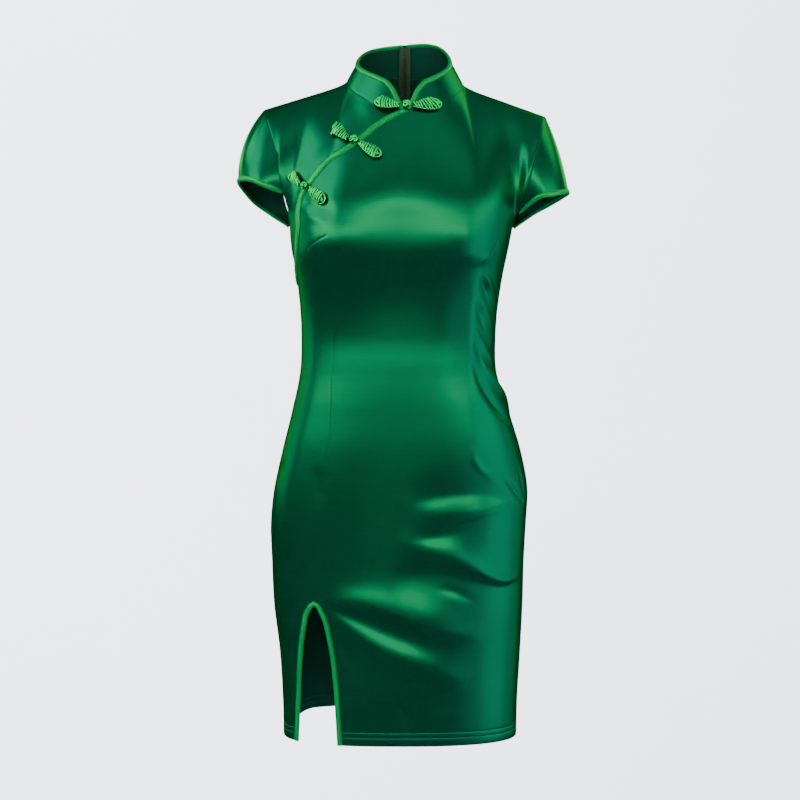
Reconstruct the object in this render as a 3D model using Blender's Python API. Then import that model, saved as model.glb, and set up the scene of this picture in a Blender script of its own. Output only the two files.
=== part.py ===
"""A short-sleeved cheongsam dress in the hollow shape it takes when worn.

In metres, +Z up, front towards -Y, the wearer's right towards -X. The origin is the middle of the neck
opening on the shoulder line, where the wearer's shoulders carry the dress.
Each cut piece is a wall of cloth of its own. Its outline is drawn in two numbers, across and up, the
space inside is filled with triangles, and a form bends it into place.
"""

import math

import bpy
import numpy as np
from mathutils.geometry import delaunay_2d_cdt

# Driving dimensions

CLOTH = 0.0016  # thickness of the satin with its seam allowance
SEAM_GAP = 0.0003
SEAM_MEET = 0.00005  # edge points nearer than this belong to the same seam
BINDING = 0.0009  # thickness of the bias binding
BINDING_WIDTH = 0.0092
BINDING_GAP = 0.0005
SLIT_BINDING_WIDTH = 0.0060
LAP = 0.012  # how far the cloth under the opening reaches below the opening's edge
LAP_GAP = 0.0014
LAP_EASE = 0.030
HEM = -0.857  # height of the hem at the sides and front
BACK_HEM_RISE = 0.020
ARMPIT = -0.196
CUP_DEPTH = 0.009
CUP_PLACE = 0.086  # from the middle line
CUP_HEIGHT = -0.222
CUP_SPREAD_X = 0.034
CUP_SPREAD_Z = 0.040
NECK_HALF_WIDTH = 0.0765
NECK_FRONT = -0.068
NECK_BACK = 0.064
NECK_POINT_Y = 0.005
NECK_POINT_Z = -0.0025
NECK_FALL = 0.031  # half of how much lower the neck is at the centre front than at the centre back
NECK_DIP = 0.0145
SHOULDER_TIP_X = 0.185
SHOULDER_SLOPE = 0.33
SHOULDER_HOLLOW = 0.004  # extra fall of the shoulder line beside the neck
SHOULDER_HOLLOW_REACH = 0.008
NECK_SHARE = 0.42  # share of each half of the top edge that is neckline
COLLAR_LEAN_SIDE = 0.55
COLLAR_LEAN_FRONT = 0.30
COLLAR_LEAN_BACK = 0.20
COLLAR_TILT = 0.006  # how much higher the collar stands on the left than on the right, twice over
SHIFT = 0.006  # the figure's hips stand this far to its right of its neck
ROLL = 0.025  # and its left shoulder is this much lower for each metre across
STANCE_LOW, STANCE_HIGH = -0.25, -0.08
ZIP_END = -0.40
ZIP_TAPE_WIDTH = 0.0078
ZIP_TAPE = 0.0008
ZIP_TAPE_GAP = 0.0012

# Sections of the body, from the hem up. Widths and depths are measured from the middle line.
SECTION_COLUMNS = ("height", "right", "left", "front", "back", "front_square", "back_square")
SECTIONS = (
    (-0.880, 0.153, 0.152, 0.099, 0.082, 2.5, 2.4),
    (-0.816, 0.154, 0.153, 0.100, 0.088, 2.5, 2.4),
    (-0.750, 0.158, 0.157, 0.101, 0.094, 2.4, 2.3),
    (-0.684, 0.166, 0.1605, 0.103, 0.098, 2.4, 2.3),
    (-0.632, 0.1685, 0.162, 0.104, 0.103, 2.3, 2.3),
    (-0.579, 0.170, 0.165, 0.104, 0.107, 2.3, 2.3),
    (-0.539, 0.166, 0.167, 0.104, 0.105, 2.3, 2.3),
    (-0.487, 0.155, 0.158, 0.103, 0.098, 2.3, 2.2),
    (-0.434, 0.142, 0.142, 0.099, 0.081, 2.3, 2.2),
    (-0.382, 0.1315, 0.126, 0.094, 0.068, 2.3, 2.2),
    (-0.340, 0.130, 0.125, 0.091, 0.065, 2.3, 2.2),
    (-0.303, 0.1315, 0.1275, 0.093, 0.068, 2.4, 2.2),
    (-0.262, 0.136, 0.1335, 0.102, 0.074, 2.5, 2.3),
    (-0.224, 0.143, 0.141, 0.112, 0.080, 2.6, 2.4),
    (-0.196, 0.1465, 0.1455, 0.1135, 0.084, 2.6, 2.4),
    (-0.150, 0.1480, 0.148, 0.107, 0.090, 2.6, 2.4),
)

# The direction in which the cloth reaches the neckline and the shoulder seam, from the middle out.
ARRIVE_COLUMNS = ("across", "x", "y", "z")
ARRIVE_FRONT = (
    (0.00, 0.000, 0.062, 0.128),
    (0.25, 0.006, 0.070, 0.112),
    (0.42, 0.000, 0.105, 0.080),
    (0.60, 0.000, 0.135, 0.045),
    (0.80, 0.004, 0.145, 0.050),
    (1.00, 0.024, 0.200, 0.080),
)
ARRIVE_BACK = (
    (0.00, 0.000, -0.070, 0.140),
    (0.25, 0.004, -0.080, 0.125),
    (0.42, 0.000, -0.110, 0.080),
    (0.60, 0.000, -0.135, 0.045),
    (0.80, 0.004, -0.140, 0.055),
    (1.00, 0.024, -0.190, 0.090),
)
ARMHOLE_LEAVE_FRONT = (0.000, -0.280, 0.080)  # the armhole's own direction at the armpit
ARMHOLE_LEAVE_BACK = (0.000, 0.240, 0.060)
ARMHOLE_PULL = 0.55  # share of the half front where that direction starts to show
ARMHOLE_BOW = 0.0045  # how far the armhole bows out above its lowest quarter
ARMHOLE_BOW_PLACE = 0.36
ARMHOLE_BOW_SPREAD = 0.15
BACK_START = 1.000001  # the left armhole of the back starts this little past the side seam

# Folds: troughs (negative) and ridges (positive) of the worn cloth. Across is -1 at the right side seam,
# 0 at the centre front, 1 at the left side seam and 2 at the centre back.
FOLD_COLUMNS = ("across_1", "height_1", "across_2", "height_2", "bow", "width", "depth")
FOLDS = (
    (0.06, -0.545, 0.66, -0.552, 0.030, 0.011, -0.0050),
    (0.00, -0.556, 0.85, -0.546, 0.002, 0.012, 0.0045),
    (0.04, -0.580, 0.62, -0.563, 0.004, 0.011, -0.0045),
    (0.00, -0.590, 0.95, -0.648, 0.012, 0.013, 0.0060),
    (0.28, -0.640, 0.90, -0.664, -0.004, 0.009, -0.0050),
    (-0.18, -0.585, 0.30, -0.655, -0.006, 0.018, -0.0060),
    (-0.50, -0.645, 0.46, -0.712, 0.000, 0.022, 0.0050),
    (-0.38, -0.668, 0.42, -0.742, 0.000, 0.014, -0.0045),
    (-0.44, -0.676, 0.46, -0.772, 0.000, 0.013, 0.0055),
    (0.50, -0.366, 0.98, -0.450, -0.006, 0.011, -0.0055),
    (0.58, -0.350, 0.98, -0.412, -0.004, 0.012, 0.0035),
    (-0.64, -0.168, -0.34, -0.190, 0.000, 0.009, -0.0025),
    (1.22, -0.398, 1.94, -0.358, 0.006, 0.013, -0.0040),
    (1.30, -0.432, 1.90, -0.402, 0.004, 0.012, 0.0028),
    (2.06, -0.352, 2.72, -0.388, 0.006, 0.013, -0.0036),
    (2.12, -0.640, 2.80, -0.604, 0.000, 0.016, -0.0040),
    (1.24, -0.596, 1.82, -0.636, 0.000, 0.016, -0.0035),
)
FOLD_ASPECT = 0.21  # metres for each unit across, to measure folds in

# Edge of the opening, from the centre front of the neck to the right side seam: across and height.
OPENING_EDGE = (
    (0.000, 0.000),
    (-0.050, -0.0125),
    (-0.145, -0.044),
    (-0.240, -0.080),
    (-0.360, -0.113),
    (-0.485, -0.133),
    (-0.555, -0.147),
    (-0.640, -0.163),
    (-0.666, -0.180),
    (-0.665, -0.203),
    (-0.710, -0.226),
    (-0.830, -0.248),
    (-1.000, -0.264),
)
# The slit in the front skirt, up one side and down the other: across and height.
SLIT_EDGE = (
    (-0.595, HEM),
    (-0.572, -0.804),
    (-0.540, -0.745),
    (-0.492, -0.708),
    (-0.460, -0.689),
    (-0.428, -0.681),
    (-0.392, -0.694),
    (-0.364, -0.728),
    (-0.345, -0.775),
    (-0.325, HEM),
)

# Top edge of the collar, from the centre front (angle 0) to the centre back, above its seam.
COLLAR_EDGE_COLUMNS = ("angle", "height")
COLLAR_EDGE = (
    (0.00, 0.0000),
    (0.10, 0.0095),
    (0.20, 0.0215),
    (0.37, 0.0312),
    (0.60, 0.0330),
    (0.90, 0.0310),
    (1.20, 0.0288),
    (1.57, 0.0298),
    (2.10, 0.0372),
    (2.60, 0.0418),
    (math.pi, 0.0435),
)

# Hem of a cap sleeve, with x taken outwards, by its place along the armhole: 0 at the armpit, 1 at the
# shoulder tip by the front, and 2 at the armpit by the back. It starts and ends on the armhole.
SLEEVE_HEM_COLUMNS = ("place", "x", "y", "z_right", "z_left")
SLEEVE_HEM = (
    (0.45, 0.1760, -0.0585, -0.1515, -0.1600),
    (0.62, 0.1930, -0.0535, -0.1445, -0.1560),
    (0.82, 0.2110, -0.0310, -0.1400, -0.1495),
    (1.00, 0.2180, 0.0030, -0.1400, -0.1465),
    (1.20, 0.2150, 0.0340, -0.1450, -0.1470),
    (1.45, 0.2010, 0.0530, -0.1590, -0.1550),
    (1.70, 0.1780, 0.0550, -0.1740, -0.1690),
)
ARMHOLE_STEPS = 16
SLEEVE_START = {-1: 5, 1: 3}  # steps up the front armhole at which the right and left sleeves start
SLEEVE_END = 31  # and at which both end, coming down the back
SLEEVE_ROWS = 6
SLEEVE_TIP = 0.003  # how far the sleeve's ends stand out from the armhole
SLEEVE_BULGE = {-1: 0.0105, 1: 0.0040}

# Frog closures: two buds of looped cord to each knot. A bud runs from its round end to its tip. Across
# and height are those of the cloth it lies on, and on the neck they are the angle from the centre front
# and the height above the seam.
BUD_COLUMNS = (
    "name",
    "cloth",
    "end_across",
    "end_height",
    "tip_across",
    "tip_height",
    "width",
    "end_lift",
    "tip_lift",
)
BUDS = (
    ("frog_neck_right", "neck", -0.530, 0.000, -0.100, 0.001, 0.0170, 0.0012, 0.0022),
    ("frog_neck_left", "neck", 0.650, -0.004, 0.135, 0.001, 0.0165, 0.0010, 0.0022),
    ("frog_chest_right", "underlap", -0.452, -0.0895, -0.309, -0.0955, 0.0150, 0.0009, 0.0050),
    ("frog_chest_left", "body", -0.112, -0.099, -0.232, -0.0915, 0.0150, 0.0009, 0.0022),
    ("frog_armpit_right", "underlap", -0.800, -0.1285, -0.615, -0.152, 0.0150, 0.0009, 0.0050),
    ("frog_armpit_left", "body", -0.415, -0.177, -0.520, -0.160, 0.0160, 0.0009, 0.0022),
)
KNOT_COLUMNS = ("name", "cloth", "across", "height", "width")
KNOTS = (
    ("frog_neck_knot", "neck", 0.022, 0.003, 0.0115),
    ("frog_chest_knot", "body", -0.268, -0.0915, 0.0130),
    ("frog_armpit_knot", "body", -0.568, -0.1550, 0.0120),
)
BUD_HEIGHT = 0.0032
KNOT_HEIGHT = 0.0055
KNOT_LIFT = 0.0021
# Rings of a bud or knot from below: share of its width and share of its height.
ROUND_COLUMNS = ("width", "height")
ROUND = ((0.80, 0.00), (1.00, 0.40), (0.82, 0.80), (0.42, 1.00))

# The zip's slider and pull tab, in the collar's own lean: across, out from the collar, and up.
SLIDER_TOP = 0.0350  # above the collar seam
SLIDER_WIDTH = 0.0052
SLIDER_LENGTH = 0.0080
SLIDER_PLATE = 0.0012
LUG = 0.0008
BAR = 0.0011
BAR_HEIGHT = 0.0022  # clear height under the bar
TAB_WIDTH = 0.0030
TAB_LENGTH = 0.0190
EYE_RADIUS = 0.0019
EYE_HOLE = 0.0012


def column(table, columns, name):
    """One named column of a table."""
    place = columns.index(name)
    return np.array([row[place] for row in table], float)


def curve_through(knots, values):
    """A smooth curve through values at rising knots: cubic, with slopes taken from the neighbours."""
    knots = np.asarray(knots, float)
    values = np.asarray(values, float)
    steps = np.diff(knots)
    chords = np.diff(values) / steps
    slopes = np.empty_like(values)
    slopes[0], slopes[-1] = chords[0], chords[-1]
    slopes[1:-1] = (chords[:-1] * steps[1:] + chords[1:] * steps[:-1]) / (steps[1:] + steps[:-1])

    def at(x):
        x = np.asarray(x, float)
        i = np.clip(np.searchsorted(knots, x) - 1, 0, len(steps) - 1)
        t = (x - knots[i]) / steps[i]
        return hermite(values[i], slopes[i] * steps[i], values[i + 1], slopes[i + 1] * steps[i], t)

    return at


def hermite(start, leave, end, arrive, t):
    """A cubic from start to end with the given end directions."""
    return (
        start * (2 * t**3 - 3 * t**2 + 1)
        + leave * (t**3 - 2 * t**2 + t)
        + end * (3 * t**2 - 2 * t**3)
        + arrive * (t**3 - t**2)
    )


def ease(x):
    """0 below 0, 1 above 1, and smooth between."""
    x = np.clip(x, 0.0, 1.0)
    return x * x * (3 - 2 * x)


def unit(vectors):
    return vectors / np.maximum(np.linalg.norm(vectors, axis=-1, keepdims=True), 1e-12)


def curves_of(table, columns):
    """A smooth curve for each further column of a table over its first column."""
    knots = column(table, columns, columns[0])
    return {name: curve_through(knots, column(table, columns, name)) for name in columns[1:]}


SECTION = curves_of(SECTIONS, SECTION_COLUMNS)
ARRIVE_AT_FRONT = curves_of(ARRIVE_FRONT, ARRIVE_COLUMNS)
ARRIVE_AT_BACK = curves_of(ARRIVE_BACK, ARRIVE_COLUMNS)


# Forms: each turns two arrays, across and up, into points


def stance(points):
    """Moves points of an upright, even figure to how the figure stands."""
    share = ease((points[..., 2] - STANCE_LOW) / (STANCE_HIGH - STANCE_LOW))
    moved = points.copy()
    moved[..., 0] -= SHIFT * (1 - share)
    moved[..., 2] -= ROLL * points[..., 0] * share
    return moved


def ring(around, height):
    """The body's level section, where around is measured as for the folds."""
    turn = (1 - around) * math.pi / 2
    along_x, along_y = np.cos(turn), np.sin(turn)
    in_front = along_y >= 0
    half_width = np.where(along_x >= 0, SECTION["left"](height), SECTION["right"](height))
    depth = np.where(in_front, SECTION["front"](height), SECTION["back"](height))
    square = np.where(in_front, SECTION["front_square"](height), SECTION["back_square"](height))
    reach = (np.abs(along_x) ** square + np.abs(along_y) ** square) ** (-1 / square)
    x = half_width * along_x * reach
    y = -depth * along_y * reach
    beside_cup = (np.abs(x) - CUP_PLACE) / CUP_SPREAD_X
    above_cup = (height - CUP_HEIGHT) / CUP_SPREAD_Z
    cup = np.exp(-(beside_cup**2 + above_cup**2) / 2)
    y -= np.where(in_front, CUP_DEPTH * cup * ease(along_y * 2), 0)
    return np.stack([x, y, height + 0 * x], axis=-1)


def neckline(angle, side):
    """The collar seam: angle is 0 at the centre front and pi at the centre back, side -1 is the right."""
    front = np.cos(angle)
    depth = np.where(front > 0, NECK_POINT_Y - NECK_FRONT, NECK_BACK - NECK_POINT_Y)
    x = side * NECK_HALF_WIDTH * np.sin(angle)
    y = NECK_POINT_Y - depth * front
    z = NECK_POINT_Z - NECK_FALL * front - NECK_DIP * front**2
    return np.stack([x, y, z], axis=-1)


def shoulder_seam(share, side):
    """From the neck point (share 0) to the shoulder tip (share 1)."""
    out = (SHOULDER_TIP_X - NECK_HALF_WIDTH) * share
    hollow = SHOULDER_HOLLOW * (1 - np.exp(-out / SHOULDER_HOLLOW_REACH))
    x = side * (NECK_HALF_WIDTH + out)
    z = NECK_POINT_Z - SHOULDER_SLOPE * out - hollow
    return np.stack([x, NECK_POINT_Y + 0 * x, z], axis=-1)


def yoke(around, share):
    """Above the armpit: share is 0 there and 1 at the neckline and shoulder seam."""
    at_front = around <= 1
    across = np.where(at_front, around, 2 - around)
    side = np.where(across >= 0, 1.0, -1.0)
    out = np.abs(across)
    start = ring(around, np.full_like(around, ARMPIT))
    below = ring(around, np.full_like(around, ARMPIT - 0.004))
    neck_angle = np.clip(out / NECK_SHARE, 0, 1) * math.pi / 2
    neck_angle = np.where(at_front, neck_angle, math.pi - neck_angle)
    on_neck = (out <= NECK_SHARE)[..., None]
    end = np.where(
        on_neck, neckline(neck_angle, side), shoulder_seam((out - NECK_SHARE) / (1 - NECK_SHARE), side)
    )
    pull = ease((out - ARMHOLE_PULL) / (1 - ARMHOLE_PULL))[..., None] ** 2
    length = np.linalg.norm(end - start, axis=-1, keepdims=True)
    armhole = np.where(at_front[..., None], ARMHOLE_LEAVE_FRONT, ARMHOLE_LEAVE_BACK)
    leave = unit(start - below) * length * (1 - pull) + armhole * pull
    arrive = np.stack(
        [
            np.where(at_front, ARRIVE_AT_FRONT[name](out), ARRIVE_AT_BACK[name](out))
            for name in ARRIVE_COLUMNS[1:]
        ],
        axis=-1,
    )
    arrive[..., 0] *= side
    points = hermite(start, leave, end, arrive, share[..., None])
    bow = ARMHOLE_BOW * np.exp(-(((share - ARMHOLE_BOW_PLACE) / ARMHOLE_BOW_SPREAD) ** 2))
    points[..., 0] += side * bow * pull[..., 0]
    return points


def bare_body(around, height):
    """The body with no folds. Height is real up to the armpit, and 0 at the neckline and shoulder."""
    around, height = np.broadcast_arrays(np.asarray(around, float), np.asarray(height, float))
    low = ring(around, np.minimum(height, ARMPIT))
    back = ease((around - 1.1) / 0.4) * ease((2.9 - around) / 0.4)
    hem_share = ease((-0.62 - height) / 0.22)
    low[..., 2] += BACK_HEM_RISE * back * hem_share
    high = yoke(around, np.clip(1 - height / ARMPIT, 0, 1))
    return np.where((height > ARMPIT)[..., None], high, low)


def fold_height(around, height):
    """How far the folds lift the cloth."""
    total = np.zeros_like(around)
    for row in FOLDS:
        fold = dict(zip(FOLD_COLUMNS, row))
        start = np.array([fold["across_1"] * FOLD_ASPECT, fold["height_1"]])
        way = np.array([fold["across_2"] * FOLD_ASPECT, fold["height_2"]]) - start
        length = np.linalg.norm(way)
        way /= length
        x, z = around * FOLD_ASPECT - start[0], height - start[1]
        along = (x * way[0] + z * way[1]) / length
        beside = z * way[0] - x * way[1] - fold["bow"] * 4 * along * (1 - along)
        taper = ease(along / 0.3) * ease((1 - along) / 0.3)
        total += fold["depth"] * taper * np.exp(-((beside / fold["width"]) ** 2))
    return total


def numeric_normals(form, across, up, step=2e-3):
    """Unit normals of a form, pointing out."""
    across_way = form(across + step, up) - form(across - step, up)
    up_way = form(across, up + step) - form(across, up - step)
    return unit(np.cross(across_way, up_way))


def body(around, height):
    """The worn body cloth, folds included."""
    around, height = np.broadcast_arrays(np.asarray(around, float), np.asarray(height, float))
    points = bare_body(around, height)
    normals = numeric_normals(bare_body, around, np.minimum(height, -0.004))
    return stance(points + normals * fold_height(around, height)[..., None])


def collar(angle, height):
    """The stand collar: angle is 0 at the centre front and positive to the left, height is from its seam."""
    angle, height = np.broadcast_arrays(np.asarray(angle, float), np.asarray(height, float))
    side = np.where(angle >= 0, 1.0, -1.0)
    turn = np.abs(angle)
    base = neckline(turn, side)
    front = np.cos(turn)
    lean = np.where(front > 0, COLLAR_LEAN_FRONT, COLLAR_LEAN_BACK) * front
    rise = np.stack([-side * COLLAR_LEAN_SIDE * np.sin(turn), lean, 1 + 0 * lean], axis=-1)
    return stance(base + rise * height[..., None])


def collar_height(angle):
    """Height of the collar's top edge above its seam, with the rounded opening in front."""
    edge = curves_of(COLLAR_EDGE, COLLAR_EDGE_COLUMNS)["height"]
    return edge(np.abs(angle)) + COLLAR_TILT * np.sin(angle) * (1 - np.cos(angle)) / 2


def armhole_point(place, side):
    """Along the armhole: 0 is the armpit, 1 the shoulder tip by the front, and 2 the armpit by the back."""
    place = np.asarray(place, float)
    front = place <= 1
    back = np.where(side > 0, BACK_START, 3.0)
    around = np.where(front, side * 1.0, back)
    share = np.where(front, place, 2 - place)
    return body(around, ARMPIT * (1 - share))


def sleeve(side):
    """The cap sleeve's form: across runs along the armhole, up from 0 at its hem to 1 at the armhole seam.

    Across is the place on the armhole on the left, and that place taken from 2 on the right.
    """
    first, last = SLEEVE_START[side] / ARMHOLE_STEPS, SLEEVE_END / ARMHOLE_STEPS
    names = ("x", "y", "z_left" if side > 0 else "z_right")
    middle = np.stack([column(SLEEVE_HEM, SLEEVE_HEM_COLUMNS, name) for name in names], axis=-1)
    middle[:, 0] *= side
    tip = SLEEVE_TIP * np.array([side, 0, 0])
    ends = armhole_point(np.array([first - 0.035, last + 0.03]), side) + tip
    rows = np.vstack([ends[:1], stance(middle), ends[1:]])
    knots = np.concatenate([[first], column(SLEEVE_HEM, SLEEVE_HEM_COLUMNS, "place"), [last]])
    hem = [curve_through(knots, rows[:, i]) for i in range(3)]

    def form(across, up):
        across, up = np.broadcast_arrays(np.asarray(across, float), np.asarray(up, float))
        place = across if side > 0 else 2 - across
        top = armhole_point(np.clip(place, 0, 2), side)
        low = np.stack([line(place) for line in hem], axis=-1)
        share = (place - first) / (last - first)
        turn = (share - 0.5) * math.pi
        out = np.stack([side * np.cos(turn), 0.6 * np.sin(turn), 0.3 * np.cos(turn)], axis=-1)
        bulge = SLEEVE_BULGE[side] * 4 * up * (1 - up) * np.clip(4 * share * (1 - share), 0, 1)
        return low + (top - low) * up[..., None] + out * bulge[..., None]

    return form


def neck(angle, up):
    """The cloth around the collar seam: the collar above it and the body below it."""
    angle, up = np.broadcast_arrays(np.asarray(angle, float), np.asarray(up, float))
    above = collar(angle, np.maximum(up, 0))
    below = body(angle * NECK_SHARE / (math.pi / 2), np.minimum(up, 0) / 0.8)
    return np.where((up >= 0)[..., None], above, below)


def underlap(around, height):
    """The body cloth, sunk by the thickness of the front where the front laps over it."""
    around, height = np.broadcast_arrays(np.asarray(around, float), np.asarray(height, float))
    flat = np.stack([around.ravel() * FOLD_ASPECT, height.ravel()], axis=-1)
    away = clearance(flat, underlap_edge() * [FOLD_ASPECT, 1.0]).reshape(around.shape)
    sunk = (CLOTH + LAP_GAP) * (1 - ease((away - LAP) / LAP_EASE))
    points = body(around, height)
    return points - numeric_normals(body, around, np.minimum(height, -0.004)) * sunk[..., None]


# Cloth: outlines filled with triangles, and walls made from them


def spaced(points, step, scale=1.0):
    """A line through points, with more points put in so that none is further than step from the next."""
    points = np.asarray(points, float)
    found = [points[:1]]
    for a, b in zip(points[:-1], points[1:]):
        length = math.hypot((b[0] - a[0]) * scale, b[1] - a[1])
        count = max(1, round(length / step))
        found.append(a + (b - a) * (np.arange(1, count + 1) / count)[:, None])
    return np.concatenate(found)


def smooth_line(rows, count):
    """count points evenly along a smooth curve through the rows of an edge table."""
    rows = np.asarray(rows, float)
    steps = np.hypot(np.diff(rows[:, 0]) * FOLD_ASPECT, np.diff(rows[:, 1]))
    knots = np.concatenate([[0], np.cumsum(steps)])
    at = np.linspace(0, knots[-1], count)
    return np.stack([curve_through(knots, rows[:, i])(at) for i in range(2)], axis=-1)


def moved_aside(line, width, scale):
    """The line moved to its left by width, where scale is the metres for each unit across."""
    flat = line * [scale, 1.0]
    way = np.gradient(flat, axis=0)
    left = unit(np.stack([-way[:, 1], way[:, 0]], axis=-1))
    return (flat + left * width) / [scale, 1.0]


def inside(points, loop):
    """Which points lie inside a closed loop."""
    x, y = points[:, :1], points[:, 1:]
    x1, y1 = loop[:, 0], loop[:, 1]
    x2, y2 = np.roll(x1, -1), np.roll(y1, -1)
    crosses = (y1 > y) != (y2 > y)
    with np.errstate(divide="ignore", invalid="ignore"):
        at = x1 + (y - y1) * (x2 - x1) / (y2 - y1)
    return (crosses & (x < at)).sum(axis=1) % 2 == 1


def clearance(points, line):
    """How far each point is from a line."""
    a, b = line[:-1], line[1:]
    way = b - a
    share = ((points[:, None] - a) * way).sum(-1) / np.maximum((way * way).sum(-1), 1e-15)
    nearest = a + np.clip(share, 0, 1)[..., None] * way
    return np.linalg.norm(points[:, None] - nearest, axis=-1).min(axis=1)


def filled(outline, scale, step_across, step_up):
    """Points and triangles that fill an outline, the outline's own points first."""
    rim = outline * [scale, 1.0]
    low, high = rim.min(axis=0), rim.max(axis=0)
    across = np.arange(low[0] + step_across / 2, high[0], step_across)
    up = np.arange(low[1] + step_up / 2, high[1], step_up)
    grid = np.stack(np.meshgrid(across, up), axis=-1)
    grid[1::2, :, 0] += step_across / 2
    grid = grid.reshape(-1, 2)
    grid = grid[inside(grid, rim)]
    room = 0.5 * min(step_across, step_up)
    grid = grid[clearance(grid, np.vstack([rim, rim[:1]])) > room]
    points = np.concatenate([rim, grid])
    edges = [(i, (i + 1) % len(rim)) for i in range(len(rim))]
    result = delaunay_2d_cdt([tuple(p) for p in points], edges, [], 1, 1e-7)
    found = np.array([tuple(v) for v in result[0]])
    triangles = np.array([f for f in result[2] if len(f) == 3])
    return found / [scale, 1.0], triangles


class Piece:
    """A cut piece as worn: its points, its triangles, and the loop of points along its edge."""

    def __init__(self, name, form, flat, triangles, loop, pull=SEAM_GAP / 2):
        self.name = name
        self.pull = pull
        self.triangles = triangles
        self.loop = loop
        self.points = form(flat[:, 0], flat[:, 1])
        self.normals = self.point_normals()

    def point_normals(self):
        """Normals at the points from the triangles around them."""
        a, b, c = (self.points[self.triangles[:, i]] for i in range(3))
        faces = np.cross(b - a, c - a)
        total = np.zeros_like(self.points)
        for i in range(3):
            np.add.at(total, self.triangles[:, i], faces)
        return unit(total)


def share_seam_normals(pieces):
    """Pieces that meet at a seam get the same normals there, so that their cut edges lie face to face."""
    owners = [(piece, i) for piece in pieces for i in piece.loop]
    places = np.array([piece.points[i] for piece, i in owners])
    normals = np.array([piece.normals[i] for piece, i in owners])
    for (piece, i), point, normal in zip(owners, places, normals):
        meeting = np.linalg.norm(places - point, axis=-1) < SEAM_MEET
        shared = unit(normals[meeting].sum(axis=0))
        piece.normals[i] = shared / max(0.6, float(shared @ normal))


def pulled_in(piece):
    """The piece's points, with those on its edge moved in from the seam."""
    points = piece.points.copy()
    edge = points[piece.loop]
    ahead = unit(np.roll(edge, -1, axis=0) - edge)
    behind = np.roll(ahead, 1, axis=0)
    normals = unit(piece.normals[piece.loop])
    inward = [unit(np.cross(normals, way)) for way in (ahead, behind)]
    alike = (inward[0] * inward[1]).sum(-1, keepdims=True)
    mitre = (inward[0] + inward[1]) / np.maximum(1 + alike, 0.35)
    points[piece.loop] = edge + mitre * piece.pull
    return points


def new_object(name, points, faces, material):
    """A mesh object with its faces smooth."""
    mesh = bpy.data.meshes.new(name)
    mesh.from_pydata([tuple(p) for p in points], [], [tuple(int(i) for i in f) for f in faces])
    mesh.validate()
    mesh.shade_smooth()
    mesh.materials.append(material)
    obj = bpy.data.objects.new(name, mesh)
    bpy.context.scene.collection.objects.link(obj)
    return obj


def wall(name, outer, inner, triangles, loop, material):
    """A closed wall between two layers of the same triangles, with faces along the loop of its edge."""
    count = len(outer)
    faces = [tuple(t) for t in triangles]
    faces += [(a + count, c + count, b + count) for a, b, c in triangles]
    for here, there in zip(loop, np.roll(loop, -1)):
        faces.append((there, here, here + count, there + count))
    return new_object(name, np.concatenate([outer, inner]), faces, material)


def cloth_wall(piece, material):
    outer = pulled_in(piece)
    return wall(piece.name, outer, outer - piece.normals * CLOTH, piece.triangles, piece.loop, material)


def shortened(line, start, end, scale):
    """A line with the given lengths taken off its two ends."""
    flat = line * [scale, 1.0]
    place = np.concatenate([[0], np.cumsum(np.linalg.norm(np.diff(flat, axis=0), axis=-1))])
    kept = place[(place > start + 0.0008) & (place < place[-1] - end - 0.0008)]
    at = np.concatenate([[start], kept, [place[-1] - end]])
    return np.stack([np.interp(at, place, line[:, i]) for i in range(2)], axis=-1)


# The outlines of the pieces, with the seams' points spaced alike on both sides of each seam


def opening_line(count=49):
    return smooth_line(OPENING_EDGE, count)


def slit_line():
    return smooth_line(SLIT_EDGE, 35)


def underlap_edge():
    """The free edge of the cloth under the opening, from the centre front to the side seam."""
    line = opening_line(41)
    share = np.linspace(0, 1, len(line))
    width = 0.003 + (LAP - 0.003) * ease(share / 0.12)
    edge = moved_aside(line, width[:, None], FOLD_ASPECT)
    edge[0] = (0.0, -0.003)
    edge[-1] = (-1.0, edge[-1, 1])
    return edge


def along(across, up):
    """Points of an outline from across and up, of which one may be a single number."""
    return np.stack(np.broadcast_arrays(np.asarray(across, float), np.asarray(up, float)), axis=-1)


def joined(*lines):
    """One closed outline from lines that meet end to end."""
    points = [lines[0][:1]]
    for line in lines:
        points.append(line[1:])
    outline = np.concatenate(points)
    return outline[:-1]


NECK_OUTS = np.linspace(0, NECK_SHARE, 10)
SHOULDER_OUTS = np.linspace(NECK_SHARE, 1, 8)
ARMHOLE_UPS = ARMPIT * (1 - np.linspace(0, 1, ARMHOLE_STEPS + 1))
OPENING_END = OPENING_EDGE[-1][1]
SIDE_UPS = np.concatenate([np.linspace(HEM, OPENING_END, 27), np.linspace(OPENING_END, ARMPIT, 4)[1:]])


def front_outline():
    left_neck = along(NECK_OUTS, 0)
    left_shoulder = along(SHOULDER_OUTS, 0)
    right_side = SIDE_UPS[SIDE_UPS <= OPENING_END + 1e-9]
    slit = slit_line()
    return joined(
        spaced([(-1, HEM), slit[0]], 0.020, FOLD_ASPECT),
        slit,
        spaced([slit[-1], (1, HEM)], 0.020, FOLD_ASPECT),
        along(1, SIDE_UPS),
        along(1, ARMHOLE_UPS),
        left_shoulder[::-1],
        left_neck[::-1],
        opening_line(),
        along(-1, right_side[::-1]),
    )


def underlap_outline():
    edge = underlap_edge()
    side = np.concatenate([edge[-1:, 1], SIDE_UPS[SIDE_UPS >= OPENING_END - 1e-9]])
    return joined(
        edge[::-1],
        [edge[0], (0.0, 0.0)],
        along(-NECK_OUTS, 0),
        along(-SHOULDER_OUTS, 0),
        along(-1, ARMHOLE_UPS[::-1]),
        along(-1, side[::-1]),
    )


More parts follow.
